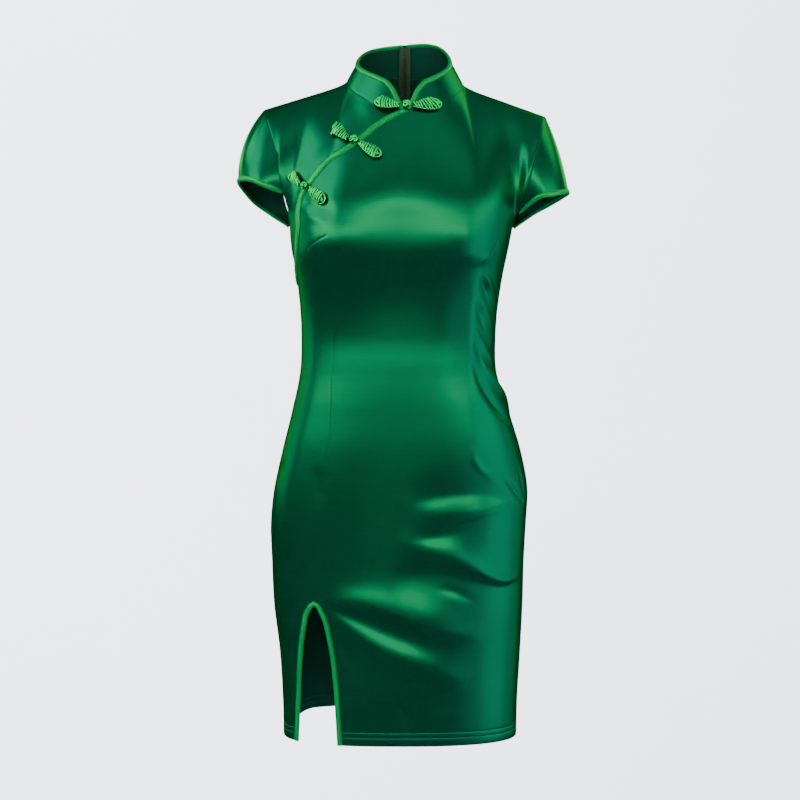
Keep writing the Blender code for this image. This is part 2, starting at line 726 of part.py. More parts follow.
def back_outline(side):
    """One half of the back, left (1) or right (-1)."""
    centre_ups = np.concatenate([SIDE_UPS, ARMHOLE_UPS[4::3]])
    half = joined(
        spaced([(1, HEM), (2, HEM)], 0.020, FOLD_ASPECT),
        along(2, centre_ups),
        along(2 - NECK_OUTS, 0),
        along(2 - SHOULDER_OUTS, 0),
        along(1, ARMHOLE_UPS[::-1]),
        along(1, SIDE_UPS[::-1]),
    )
    if side > 0:
        half[(half[:, 0] == 1) & (half[:, 1] > ARMPIT + 1e-9), 0] = BACK_START
        return half
    return (half * [-1, 1] + [4, 0])[::-1]


def collar_outline(side):
    front = NECK_OUTS / NECK_SHARE * math.pi / 2
    seam = np.concatenate([front, (math.pi - front[:-1])[::-1]])
    steep = np.linspace(0, 1, 9) ** 1.6 * 0.45
    top = np.concatenate([steep[:-1], np.linspace(0.45, math.pi, 18)])
    height = collar_height(side * math.pi)
    half = joined(
        along(seam, 0),
        spaced([(math.pi, 0), (math.pi, height)], 0.011),
        np.stack([top, collar_height(side * top)], axis=-1)[::-1],
    )
    return half if side > 0 else (half * [-1, 1])[::-1]


def bent_strip(name, form, line, width, scale, material, limit=None):
    """Bias binding folded over an edge: a strip on the cloth's outside and a lip down its cut edge.

    The cloth lies to the left of the line. Limit is the furthest that the strip may reach in flat units.
    """
    way = np.gradient(line * [scale, 1.0], axis=0)
    left = unit(np.stack([-way[:, 1], way[:, 0]], axis=-1)) / [scale, 1.0]
    edge = form(line[:, 0], line[:, 1])
    near = line + left * 1e-3
    reach = np.linalg.norm(form(near[:, 0], near[:, 1]) - edge, axis=-1)
    flat_width = width * 1e-3 / reach
    if limit is not None:
        flat_width = np.minimum(flat_width, limit)
    middle, far = (line + left * (flat_width * share)[:, None] for share in (0.5, 1.0))
    middle, far = form(middle[:, 0], middle[:, 1]), form(far[:, 0], far[:, 1])
    up = numeric_normals(form, line[:, 0], line[:, 1])
    inward = unit(middle - edge)
    inward = unit(inward - up * (inward * up).sum(-1, keepdims=True))
    low, high = BINDING_GAP, BINDING_GAP + BINDING
    section = (
        (far, 0.0, low),
        (far, 0.0, low + BINDING * 0.45),
        (middle, 0.0, high),
        (edge, 0.0, high),
        (edge, -high, low * 0.5),
        (edge, -high * 0.9, -CLOTH),
        (edge, -low * 0.5, -CLOTH),
        (edge, -low * 0.5, low),
    )
    rows = np.stack([base + inward * aside + up * lift for base, aside, lift in section], axis=1)
    return swept(name, rows, material)


def swept(name, rows, material):
    """A closed body from a row of sections with the same number of points each, ends capped."""
    count, sides = rows.shape[:2]
    faces = []
    for i in range(count - 1):
        for j in range(sides):
            k = (j + 1) % sides
            a, b = i * sides, (i + 1) * sides
            faces.append((a + j, a + k, b + k, b + j))
    faces.append(tuple(range(sides))[::-1])
    faces.append(tuple((count - 1) * sides + j for j in range(sides)))
    return new_object(name, rows.reshape(-1, 3), faces, material)


def teardrop(length, width, steps=7):
    """Outline of a bud: a round end at the origin side, narrowing to a tip, in metres along and across."""
    radius = width / 2
    turn = np.linspace(0.55, 1.45, steps) * math.pi
    end = np.stack([radius + radius * np.cos(turn), radius * np.sin(turn)], axis=-1)
    share = np.array([0.55, 0.80, 1.0])
    half = radius * np.array([0.90, 0.66, 0.42])
    far = np.stack([share * length, -half], axis=-1)
    return np.concatenate([end, far, (far * [1, -1])[::-1]])


def circle(width, steps=10):
    turn = np.arange(steps) / steps * 2 * math.pi
    return np.stack([np.cos(turn), np.sin(turn)], axis=-1) * width / 2


def domed(name, form, start, ahead, outline, height, lifts, material):
    """A low rounded body over the cloth, from a start towards a place ahead of it.

    The outline is in metres: its first number runs from the start to the place ahead, its second to the
    left. Lifts are how far it stands off the cloth at those two places.
    """
    start, ahead = np.array(start), np.array(ahead)
    length = np.linalg.norm(form(*ahead) - form(*start))
    middle = (outline.max(axis=0) + outline.min(axis=0)) / 2
    layers = []
    for width_share, height_share in list(ROUND) + [(0.0, 1.06)]:
        ring = middle + (outline - middle) * width_share
        if width_share == 0.0:
            ring = ring[:1]
        share = ring[:, :1] / length
        flat = start + (ahead - start) * share
        flat = flat + beside_way(form, flat, ahead - start) * ring[:, 1:]
        normals = numeric_normals(form, flat[:, 0], flat[:, 1], 0.012)
        lift = lifts[0] + (lifts[1] - lifts[0]) * share**2
        layers.append(form(flat[:, 0], flat[:, 1]) + normals * (lift + height * height_share))
    bottom = layers[0].mean(axis=0, keepdims=True)
    points = np.concatenate([bottom] + layers)
    n = len(outline)
    faces = [(0, 1 + (j + 1) % n, 1 + j) for j in range(n)]
    for ring in range(len(ROUND) - 1):
        for j in range(n):
            k = (j + 1) % n
            a, b = 1 + ring * n, 1 + (ring + 1) * n
            faces.append((a + j, a + k, b + k, b + j))
    top = 1 + (len(ROUND) - 1) * n
    faces += [(top + j, top + (j + 1) % n, top + n) for j in range(n)]
    return new_object(name, points, faces, material)


def beside_way(form, flat, ahead, step=1e-3):
    """What to add across and up to go one metre to the left of the way ahead, at each place."""
    across, up = flat[:, 0], flat[:, 1]
    on_across = (form(across + step, up) - form(across - step, up)) / (2 * step)
    on_up = (form(across, up + step) - form(across, up - step)) / (2 * step)
    normal = unit(np.cross(on_across, on_up))
    left = unit(np.cross(normal, on_across * ahead[0] + on_up * ahead[1]))
    both = np.stack([on_across, on_up], axis=-1)
    return np.stack([np.linalg.pinv(m) @ v for m, v in zip(both, left)])


def zip_tape(name, side, material):
    """Tape of the concealed zip, inside along the centre back, from the collar's top to the waist."""
    top = float(collar_height(side * math.pi)) - 0.003
    places = [("collar", up) for up in np.linspace(top, 0.0075, 5)]
    places += [("body", up) for up in np.concatenate([[-0.006], np.linspace(-0.03, ZIP_END, 17)])]
    rows, normals = [], []
    for cloth, up in places:
        form = collar if cloth == "collar" else body
        centre = side * math.pi if cloth == "collar" else 2.0
        toward = -side
        reach = np.linalg.norm(form(centre + toward * 1e-3, up) - form(centre, up)) / 1e-3
        across = centre + toward * np.array([0.0003, ZIP_TAPE_WIDTH / 2, ZIP_TAPE_WIDTH]) / reach
        ups = np.full(3, up)
        rows.append(form(across, ups))
        if cloth == "body":
            ups = np.minimum(ups, -0.004)
        normals.append(numeric_normals(form, across, ups))
    rows, normals = np.array(rows), np.array(normals)
    outer = rows - normals * (CLOTH + ZIP_TAPE_GAP)
    inner = outer - normals * ZIP_TAPE
    section = np.concatenate([outer, inner[:, ::-1]], axis=1)
    if side < 0:
        section = section[:, ::-1]
    return swept(name, section, material)


def boxes_joined(name, breaks, filled_cells, place, material):
    """One body from the filled cells of a grid with the given breaks along its three ways."""
    points, faces, known = [], [], {}

    def corner(i, j, k):
        if (i, j, k) not in known:
            known[i, j, k] = len(points)
            points.append((breaks[0][i], breaks[1][j], breaks[2][k]))
        return known[i, j, k]

    sides = (
        ((-1, 0, 0), ((0, 0, 0), (0, 0, 1), (0, 1, 1), (0, 1, 0))),
        ((1, 0, 0), ((1, 0, 0), (1, 1, 0), (1, 1, 1), (1, 0, 1))),
        ((0, -1, 0), ((0, 0, 0), (1, 0, 0), (1, 0, 1), (0, 0, 1))),
        ((0, 1, 0), ((0, 1, 0), (0, 1, 1), (1, 1, 1), (1, 1, 0))),
        ((0, 0, -1), ((0, 0, 0), (0, 1, 0), (1, 1, 0), (1, 0, 0))),
        ((0, 0, 1), ((0, 0, 1), (1, 0, 1), (1, 1, 1), (0, 1, 1))),
    )
    for i, j, k in sorted(filled_cells):
        for (di, dj, dk), corners in sides:
            if (i + di, j + dj, k + dk) not in filled_cells:
                faces.append([corner(i + a, j + b, k + c) for a, b, c in corners])
    return new_object(name, place(np.array(points)), faces, material)


def collar_back_frame():
    """Turns points given across, out from the collar and up, into place at the zip's top."""
    seam = collar(math.pi, 0.0)
    upward = unit(collar(math.pi, SLIDER_TOP) - seam)
    out = unit(np.cross(upward, np.array([1.0, 0.0, 0.0])))
    base = seam + upward * SLIDER_TOP

    def place(points):
        across = points[:, :1] * np.array([1.0, 0.0, 0.0])
        return base + across + points[:, 1:2] * out + points[:, 2:] * upward

    return place


def pull_tab(name, place, material):
    """A flat tab with an eye round the slider's bar, hanging down along the collar."""
    sides = 11
    axis_out = SEAM_GAP + SLIDER_PLATE + BAR_HEIGHT + BAR / 2
    axis_up = -BAR / 2
    turn = -math.pi / 2 + (np.arange(sides) - 0.5) / sides * 2 * math.pi
    rim = np.stack([np.cos(turn), np.sin(turn)], axis=-1)
    low = axis_up - TAB_LENGTH
    half = abs(rim[0, 0] - rim[1, 0]) / 2 * EYE_RADIUS
    eye = np.concatenate([rim * EYE_RADIUS, rim * EYE_HOLE]) + [axis_out, axis_up]
    flat = np.concatenate([eye, [(axis_out - half, low), (axis_out + half, low)]])
    cells = [(i, (i + 1) % sides, sides + (i + 1) % sides, sides + i) for i in range(sides)]
    cells.append((0, 2 * sides, 2 * sides + 1, 1))
    edges = {}
    for cell in cells:
        for a, b in zip(cell, cell[1:] + cell[:1]):
            edges[a, b] = edges.get((a, b), 0) + 1
    count = len(flat)
    faces = [cell[::-1] for cell in cells] + [tuple(i + count for i in cell) for cell in cells]
    faces += [(a, b, b + count, a + count) for a, b in edges if (b, a) not in edges]
    flanks = [np.column_stack([np.full(count, x), flat]) for x in (-TAB_WIDTH / 2, TAB_WIDTH / 2)]
    return new_object(name, place(np.concatenate(flanks)), faces, material)


def new_material(name, colour, roughness, metallic=0.0):
    material = bpy.data.materials.new(name)
    material.use_nodes = True
    shader = material.node_tree.nodes["Principled BSDF"]
    shader.inputs["Base Color"].default_value = (*colour, 1.0)
    shader.inputs["Roughness"].default_value = roughness
    shader.inputs["Metallic"].default_value = metallic
    material.diffuse_color = (*colour, 1.0)
    return material


def cut_piece(name, form, outline, scale, steps):
    flat, triangles = filled(outline, scale, *steps)
    return Piece(name, form, flat, triangles, np.arange(len(outline)))


def sleeve_piece(name, side):
    """A cap sleeve as an even grid from its hem to the armhole."""
    first, last = SLEEVE_START[side], SLEEVE_END
    places = np.arange(first, last + 1) / ARMHOLE_STEPS
    if side < 0:
        places = 2 - places[::-1]
    ups = np.linspace(0, 1, SLEEVE_ROWS + 1)
    flat = np.stack(np.meshgrid(places, ups), axis=-1).reshape(-1, 2)
    wide, tall = len(places), len(ups)
    triangles = []
    for j in range(tall - 1):
        for i in range(wide - 1):
            a = j * wide + i
            triangles += [(a, a + 1, a + wide + 1), (a, a + wide + 1, a + wide)]
    loop = list(range(wide))
    loop += [j * wide + wide - 1 for j in range(1, tall)]
    loop += [(tall - 1) * wide + i for i in range(wide - 2, -1, -1)]
    loop += [j * wide for j in range(tall - 2, 0, -1)]
    return Piece(name, sleeve(side), flat, np.array(triangles), np.array(loop), 0.0004)


# Build

for leftover in list(bpy.data.objects):
    bpy.data.objects.remove(leftover)

SATIN = new_material("emerald_satin", (0.006, 0.130, 0.070), 0.38, 0.35)
BIAS_SATIN = new_material("green_bias_satin", (0.004, 0.240, 0.055), 0.42, 0.25)
CORD = new_material("bright_green_cord", (0.055, 0.460, 0.110), 0.50)
TAPE = new_material("dark_green_tape", (0.006, 0.045, 0.026), 0.85)
METAL = new_material("green_lacquered_metal", (0.004, 0.095, 0.050), 0.35, 0.6)

BODY_STEPS = (0.016, 0.021)
COLLAR_SCALE = 0.07
COLLAR_STEPS = (0.013, 0.012)
SLEEVE_SCALE = 0.2

pieces = [
    cut_piece("front_main", body, front_outline(), FOLD_ASPECT, BODY_STEPS),
    cut_piece("front_underlap", underlap, underlap_outline(), FOLD_ASPECT, BODY_STEPS),
    cut_piece("back_left", body, back_outline(1), FOLD_ASPECT, BODY_STEPS),
    cut_piece("back_right", body, back_outline(-1), FOLD_ASPECT, BODY_STEPS),
    cut_piece("collar_left", collar, collar_outline(1), COLLAR_SCALE, COLLAR_STEPS),
    cut_piece("collar_right", collar, collar_outline(-1), COLLAR_SCALE, COLLAR_STEPS),
    sleeve_piece("sleeve_left", 1),
    sleeve_piece("sleeve_right", -1),
]
share_seam_normals(pieces)
for piece in pieces:
    cloth_wall(piece, SATIN)

opening = shortened(opening_line(), 0.003, 0.003, FOLD_ASPECT)
bent_strip("binding_opening", body, opening, BINDING_WIDTH, FOLD_ASPECT, BIAS_SATIN)
slit = shortened(slit_line(), 0.0005, 0.0005, FOLD_ASPECT)
bent_strip("binding_slit", body, slit, SLIT_BINDING_WIDTH, FOLD_ASPECT, BIAS_SATIN)
for side, word in ((1, "left"), (-1, "right")):
    top = np.concatenate([np.linspace(0, 1, 12)[:-1] ** 1.6 * 0.45, np.linspace(0.45, math.pi, 20)])
    line = np.stack([side * top, collar_height(side * top)], axis=-1)
    cuts = (0.0014, 0.006) if side > 0 else (0.006, 0.0014)
    line = shortened(line[::-side], *cuts, COLLAR_SCALE)
    bent_strip(f"binding_collar_{word}", collar, line, 0.0065, COLLAR_SCALE, BIAS_SATIN)
    first, last = SLEEVE_START[side] / ARMHOLE_STEPS, SLEEVE_END / ARMHOLE_STEPS
    ends = (first, last) if side > 0 else (2 - last, 2 - first)
    hem = along(np.linspace(ends[0] + 0.01, ends[1] - 0.01, 30), 0)
    bent_strip(f"binding_sleeve_{word}", sleeve(side), hem, 0.0062, SLEEVE_SCALE, BIAS_SATIN, 0.8)
    zip_tape(f"zip_tape_{word}", side, TAPE)

FORMS = {"neck": neck, "body": body, "underlap": underlap}
for row in BUDS:
    bud = dict(zip(BUD_COLUMNS, row))
    form = FORMS[bud["cloth"]]
    start = (bud["end_across"], bud["end_height"])
    tip = (bud["tip_across"], bud["tip_height"])
    length = float(np.linalg.norm(form(*tip) - form(*start)))
    lifts = (bud["end_lift"], bud["tip_lift"])
    domed(bud["name"], form, start, tip, teardrop(length, bud["width"]), BUD_HEIGHT, lifts, CORD)
for row in KNOTS:
    knot = dict(zip(KNOT_COLUMNS, row))
    place = (knot["across"], knot["height"])
    ahead = (place[0] + 0.01, place[1])
    outline = circle(knot["width"])
    lifts = (KNOT_LIFT, KNOT_LIFT)
    domed(knot["name"], FORMS[knot["cloth"]], place, ahead, outline, KNOT_HEIGHT, lifts, CORD)

place = collar_back_frame()
half_width, half_eye = SLIDER_WIDTH / 2, SLIDER_WIDTH / 2 - LUG
plate_out = SEAM_GAP + SLIDER_PLATE
slider_breaks = (
    (-half_width, -half_eye, half_eye, half_width),
    (SEAM_GAP, plate_out, plate_out + BAR_HEIGHT, plate_out + BAR_HEIGHT + BAR),
    (-SLIDER_LENGTH, -BAR, 0.0),
)
plate = {(i, 0, k) for i in range(3) for k in range(2)}
lugs = {(i, 1, 1) for i in (0, 2)}
bar = {(i, 2, 1) for i in range(3)}
boxes_joined("zip_slider", slider_breaks, plate | lugs | bar, place, METAL)
pull_tab("zip_pull_tab", place, METAL)
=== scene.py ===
"""Looks of a short-sleeved cheongsam dress: finely made cloth on the same forms as its solids.

In metres, +Z up, front towards -Y, the wearer's right towards -X. Each cut piece's outline is drawn in two
numbers, across and up, filled with triangles, and bent into place by a form.
"""

import math

import bpy
import numpy as np
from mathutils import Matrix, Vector
from mathutils.geometry import delaunay_2d_cdt


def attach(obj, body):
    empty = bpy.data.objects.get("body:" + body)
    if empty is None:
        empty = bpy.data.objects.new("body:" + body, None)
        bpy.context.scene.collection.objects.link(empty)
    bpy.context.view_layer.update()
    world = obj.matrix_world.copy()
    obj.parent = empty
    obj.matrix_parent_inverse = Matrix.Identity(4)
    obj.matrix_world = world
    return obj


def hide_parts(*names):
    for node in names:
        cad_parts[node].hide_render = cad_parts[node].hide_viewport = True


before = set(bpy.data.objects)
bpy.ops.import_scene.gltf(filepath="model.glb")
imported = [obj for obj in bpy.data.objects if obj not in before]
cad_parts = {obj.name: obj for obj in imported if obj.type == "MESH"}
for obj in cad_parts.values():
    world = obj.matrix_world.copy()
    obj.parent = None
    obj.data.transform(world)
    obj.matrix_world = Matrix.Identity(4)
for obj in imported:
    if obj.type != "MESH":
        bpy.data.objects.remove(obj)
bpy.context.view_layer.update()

# Looks
SHELL = 0.0012
ROLL_WIDTH = 0.0026  # how far from its edge a piece starts to roll under
ROLL_DEPTH = 0.0006
CORD_RADIUS = 0.0015
CORD_PAINTED_SHADE = (0.0004, 0.020, 0.006)  # painted shade: the colour a cord is darkened to low on its sides, between the windings, where shadow falls
SATIN_EDGE = (0.0, 0.6, 0.25)
CLOUDS = 9.0  # noises in the satin, for each metre along and across it
STREAKS = (9.0, 520.0)
WEAVE = (700.0, 2600.0)
SEAM_TUCK = 0.0022  # how far the collar runs down inside the neckline
SEAM_DEPTH = 0.0005
SEAM_WIDTH = 0.0009
SEAM_BAND = (0.0, 0.0010, 0.0021)  # how far beside a seam the mesh has a row of points
SEAM_STEP = 0.0022
HEM_STITCHES = (0.0100, 0.0165)  # heights of the hem's two rows of stitches
STITCH = 0.0026
STITCH_GAP = 0.0009
STITCH_ARC = ((0.0, -0.0003), (0.25, 0.0002), (0.75, 0.0002), (1.0, -0.0003))  # share of it, height
THREAD_RADIUS = 0.00034
CLOTH_STEP = 0.0031  # length of the mesh's edges
COLLAR_STEP = 0.0026
ROW_STEP = 0.87  # distance between the mesh's rows, as a share of its edges' length
EDGE_ROW = 0.45  # place of the row inside an edge, as a share of the roll's width
EDGE_CLEAR = 0.40  # how clear of the edge that row stays, in the same shares
FIELD_CLEAR = 1.1  # and how clear of it the rest of the mesh stays

# Metres for each unit across and up on the body, the collar and the sleeves
BODY_PLAN = np.array([0.21, 1.0])
COLLAR_PLAN = np.array([0.07, 1.0])
SLEEVE_PLAN = np.array([0.2, 1.0])

# Stage: soft lights by name, place, height of the spot on the middle line they face, size, power, colour
FLOOR = -1.75
ROOM_FLAT = 3.0  # radius of the floor where it is flat
ROOM_CURVE = 3.5
ROOM_WALL = (5.0, 7.5)  # heights up its wall
STUDIO_COLOUR = (0.84, 0.85, 0.89)
AIR = (0.45, 0.75, 1.0)  # colour of the light that comes from all round
AIR_STRENGTH = 0.145
WARM = (1.0, 1.0, 0.75)
CREAM = (1.0, 1.0, 0.95)
WHITE = (1.0, 1.0, 1.0)
PALE = (0.9, 1.0, 0.9)
COOL = (0.6, 0.85, 1.0)
LIGHTS = (
    ("key_front", (0.14, -2.05, 0.39), -0.20, (3.5, 0.40), 15.4, WARM),
    ("key_front_right", (-1.84, -0.90, 0.34), -0.20, (2.0, 0.52), 9.8, WARM),
    ("key_front_left", (1.93, -0.70, 0.40), -0.20, (1.7, 0.42), 4.0, WARM),
    ("key_right", (-1.71, -0.56, 1.25), -0.10, (1.5, 1.30), 10.4, CREAM),
    ("chest_fill", (0.51, -1.57, 2.25), -0.15, (3.6, 1.20), 4.9, PALE),
    ("rim_right", (-1.79, 0.65, 1.05), -0.12, (1.1, 0.80), 6.1, WHITE),
    ("glow_right", (-1.66, 1.12, -0.05), -0.38, (1.7, 0.80), 3.8, PALE),
    ("side_left", (1.90, -0.62, -0.60), -0.50, (1.3, 1.50), 3.7, COOL),
    ("side_left_wide", (1.89, -0.92, -0.60), -0.50, (2.3, 1.80), 4.9, COOL),
    ("edge_left", (1.90, 0.62, -0.50), -0.50, (1.3, 1.60), 3.6, COOL),
    ("front_fill", (0.00, -2.60, -0.40), -0.40, (1.5, 1.00), 0.7, PALE),
    ("key_back", (0.00, 2.05, 0.44), -0.20, (3.7, 0.36), 13.4, WARM),
    ("back_left", (1.43, 1.00, 1.15), -0.15, (1.5, 1.00), 7.5, WARM),
    ("top", (0.0, 0.0, 2.2), -0.35, (3.0, 3.0), 3.5, (0.9, 1.0, 0.95)),
)
# Lights for the room's paper alone: name, place, aim, size and power
PAPER_LIGHTS = (
    ("paper_left", (-1.2, 1.4, 2.4), (-2.0, 6.0, 1.0), (1.6, 1.6), 650.0),
    ("paper_right", (1.2, 1.4, 2.4), (1.6, 6.0, 0.8), (1.6, 1.6), 260.0),
    ("paper_front", (0.0, -1.4, 2.8), (0.0, -6.0, 0.2), (2.4, 1.4), 200.0),
    ("paper_east", (1.4, 0.0, 2.8), (6.0, 0.0, 0.2), (1.4, 2.4), 150.0),
    ("paper_west", (-1.4, 0.0, 2.8), (-6.0, 0.0, 0.2), (1.4, 2.4), 150.0),
)
PAPER_WHITE = (1.0, 0.99, 1.0)
CAMERA_PLACE = (-0.0065, -2.2, -0.421)
CAMERA_LENS = 75.24

# Driving dimensions

CLOTH = 0.0016  # thickness of the satin with its seam allowance
SEAM_GAP = 0.0003
BINDING_WIDTH = 0.0092
SLIT_BINDING_WIDTH = 0.0060
SLEEVE_BINDING_WIDTH = 0.0062
COLLAR_BINDING_WIDTH = 0.0065
LAP = 0.012  # how far the cloth under the opening reaches below the opening's edge
LAP_START = 0.003  # and how far it does so at the neck
LAP_GROWS = 0.12  # share of the opening over which it gets its full reach
LAP_GAP = 0.0014
LAP_EASE = 0.030
HEM = -0.857  # height of the hem at the sides and front
BACK_HEM_RISE = 0.020
BACK_HEM_TOP = -0.62  # height where the rise starts to tell, and the height over which it grows
BACK_HEM_EASE = 0.22
BACK_SIDE = 0.1  # how far past the side seams, across, it starts, and over how much it grows
BACK_SIDE_EASE = 0.4
ARMPIT = -0.196
CUP_DEPTH = 0.009
CUP_PLACE = 0.086  # from the middle line
CUP_HEIGHT = -0.222
CUP_SPREAD_X = 0.034
CUP_SPREAD_Z = 0.040
NECK_HALF_WIDTH = 0.0765
NECK_FRONT = -0.068
NECK_BACK = 0.064
NECK_POINT_Y = 0.005
NECK_POINT_Z = -0.0025
NECK_FALL = 0.031  # half of how much lower the neck is at the centre front than at the centre back
NECK_DIP = 0.0145
SHOULDER_TIP_X = 0.185
SHOULDER_SLOPE = 0.33
SHOULDER_HOLLOW = 0.004  # extra fall of the shoulder line beside the neck
SHOULDER_HOLLOW_REACH = 0.008
NECK_SHARE = 0.42  # share of each half of the top edge that is neckline
NECK_DROP = 0.8  # metres along the cloth for each unit up, just below the neckline
COLLAR_LEAN_SIDE = 0.55
COLLAR_LEAN_FRONT = 0.30
COLLAR_LEAN_BACK = 0.20
COLLAR_TILT = 0.006  # how much higher the collar stands on the left than on the right, twice over
SHIFT = 0.006  # the figure's hips stand this far to its right of its neck
ROLL = 0.025  # and its left shoulder is this much lower for each metre across
STANCE_LOW, STANCE_HIGH = -0.25, -0.08
TOP_MARGIN = 0.004  # normals near the body's top edge are taken this far below it

# Sections of the body, from the hem up. Widths and depths are measured from the middle line.
SECTION_COLUMNS = ("height", "right", "left", "front", "back", "front_square", "back_square")
SECTIONS = (
    (-0.880, 0.153, 0.152, 0.099, 0.082, 2.5, 2.4),
    (-0.816, 0.154, 0.153, 0.100, 0.088, 2.5, 2.4),
    (-0.750, 0.158, 0.157, 0.101, 0.094, 2.4, 2.3),
    (-0.684, 0.166, 0.1605, 0.103, 0.098, 2.4, 2.3),
    (-0.632, 0.1685, 0.162, 0.104, 0.103, 2.3, 2.3),
    (-0.579, 0.170, 0.165, 0.104, 0.107, 2.3, 2.3),
    (-0.539, 0.166, 0.167, 0.104, 0.105, 2.3, 2.3),
    (-0.487, 0.155, 0.158, 0.103, 0.098, 2.3, 2.2),
    (-0.434, 0.142, 0.142, 0.099, 0.081, 2.3, 2.2),
    (-0.382, 0.1315, 0.126, 0.094, 0.068, 2.3, 2.2),
    (-0.340, 0.130, 0.125, 0.091, 0.065, 2.3, 2.2),
    (-0.303, 0.1315, 0.1275, 0.093, 0.068, 2.4, 2.2),
    (-0.262, 0.136, 0.1335, 0.102, 0.074, 2.5, 2.3),
    (-0.224, 0.143, 0.141, 0.112, 0.080, 2.6, 2.4),
    (-0.196, 0.1465, 0.1455, 0.1135, 0.084, 2.6, 2.4),
    (-0.150, 0.1480, 0.148, 0.107, 0.090, 2.6, 2.4),
)

# The direction in which the cloth reaches the neckline and the shoulder seam, from the middle out.
ARRIVE_COLUMNS = ("across", "x", "y", "z")
ARRIVE_FRONT = (
    (0.00, 0.000, 0.062, 0.128),
    (0.25, 0.006, 0.070, 0.112),
    (0.42, 0.000, 0.105, 0.080),
    (0.60, 0.000, 0.135, 0.045),
    (0.80, 0.004, 0.145, 0.050),
    (1.00, 0.024, 0.200, 0.080),
)
ARRIVE_BACK = (
    (0.00, 0.000, -0.070, 0.140),
    (0.25, 0.004, -0.080, 0.125),
    (0.42, 0.000, -0.110, 0.080),
    (0.60, 0.000, -0.135, 0.045),
    (0.80, 0.004, -0.140, 0.055),
    (1.00, 0.024, -0.190, 0.090),
)
ARMHOLE_LEAVE_FRONT = (0.000, -0.280, 0.080)  # the armhole's own direction at the armpit
ARMHOLE_LEAVE_BACK = (0.000, 0.240, 0.060)
ARMHOLE_PULL = 0.55  # share of the half front where that direction starts to show
ARMHOLE_BOW = 0.0045  # how far the armhole bows out above its lowest quarter
ARMHOLE_BOW_PLACE = 0.36
ARMHOLE_BOW_SPREAD = 0.15
BACK_START = 1.000001  # the left armhole of the back starts this little past the side seam

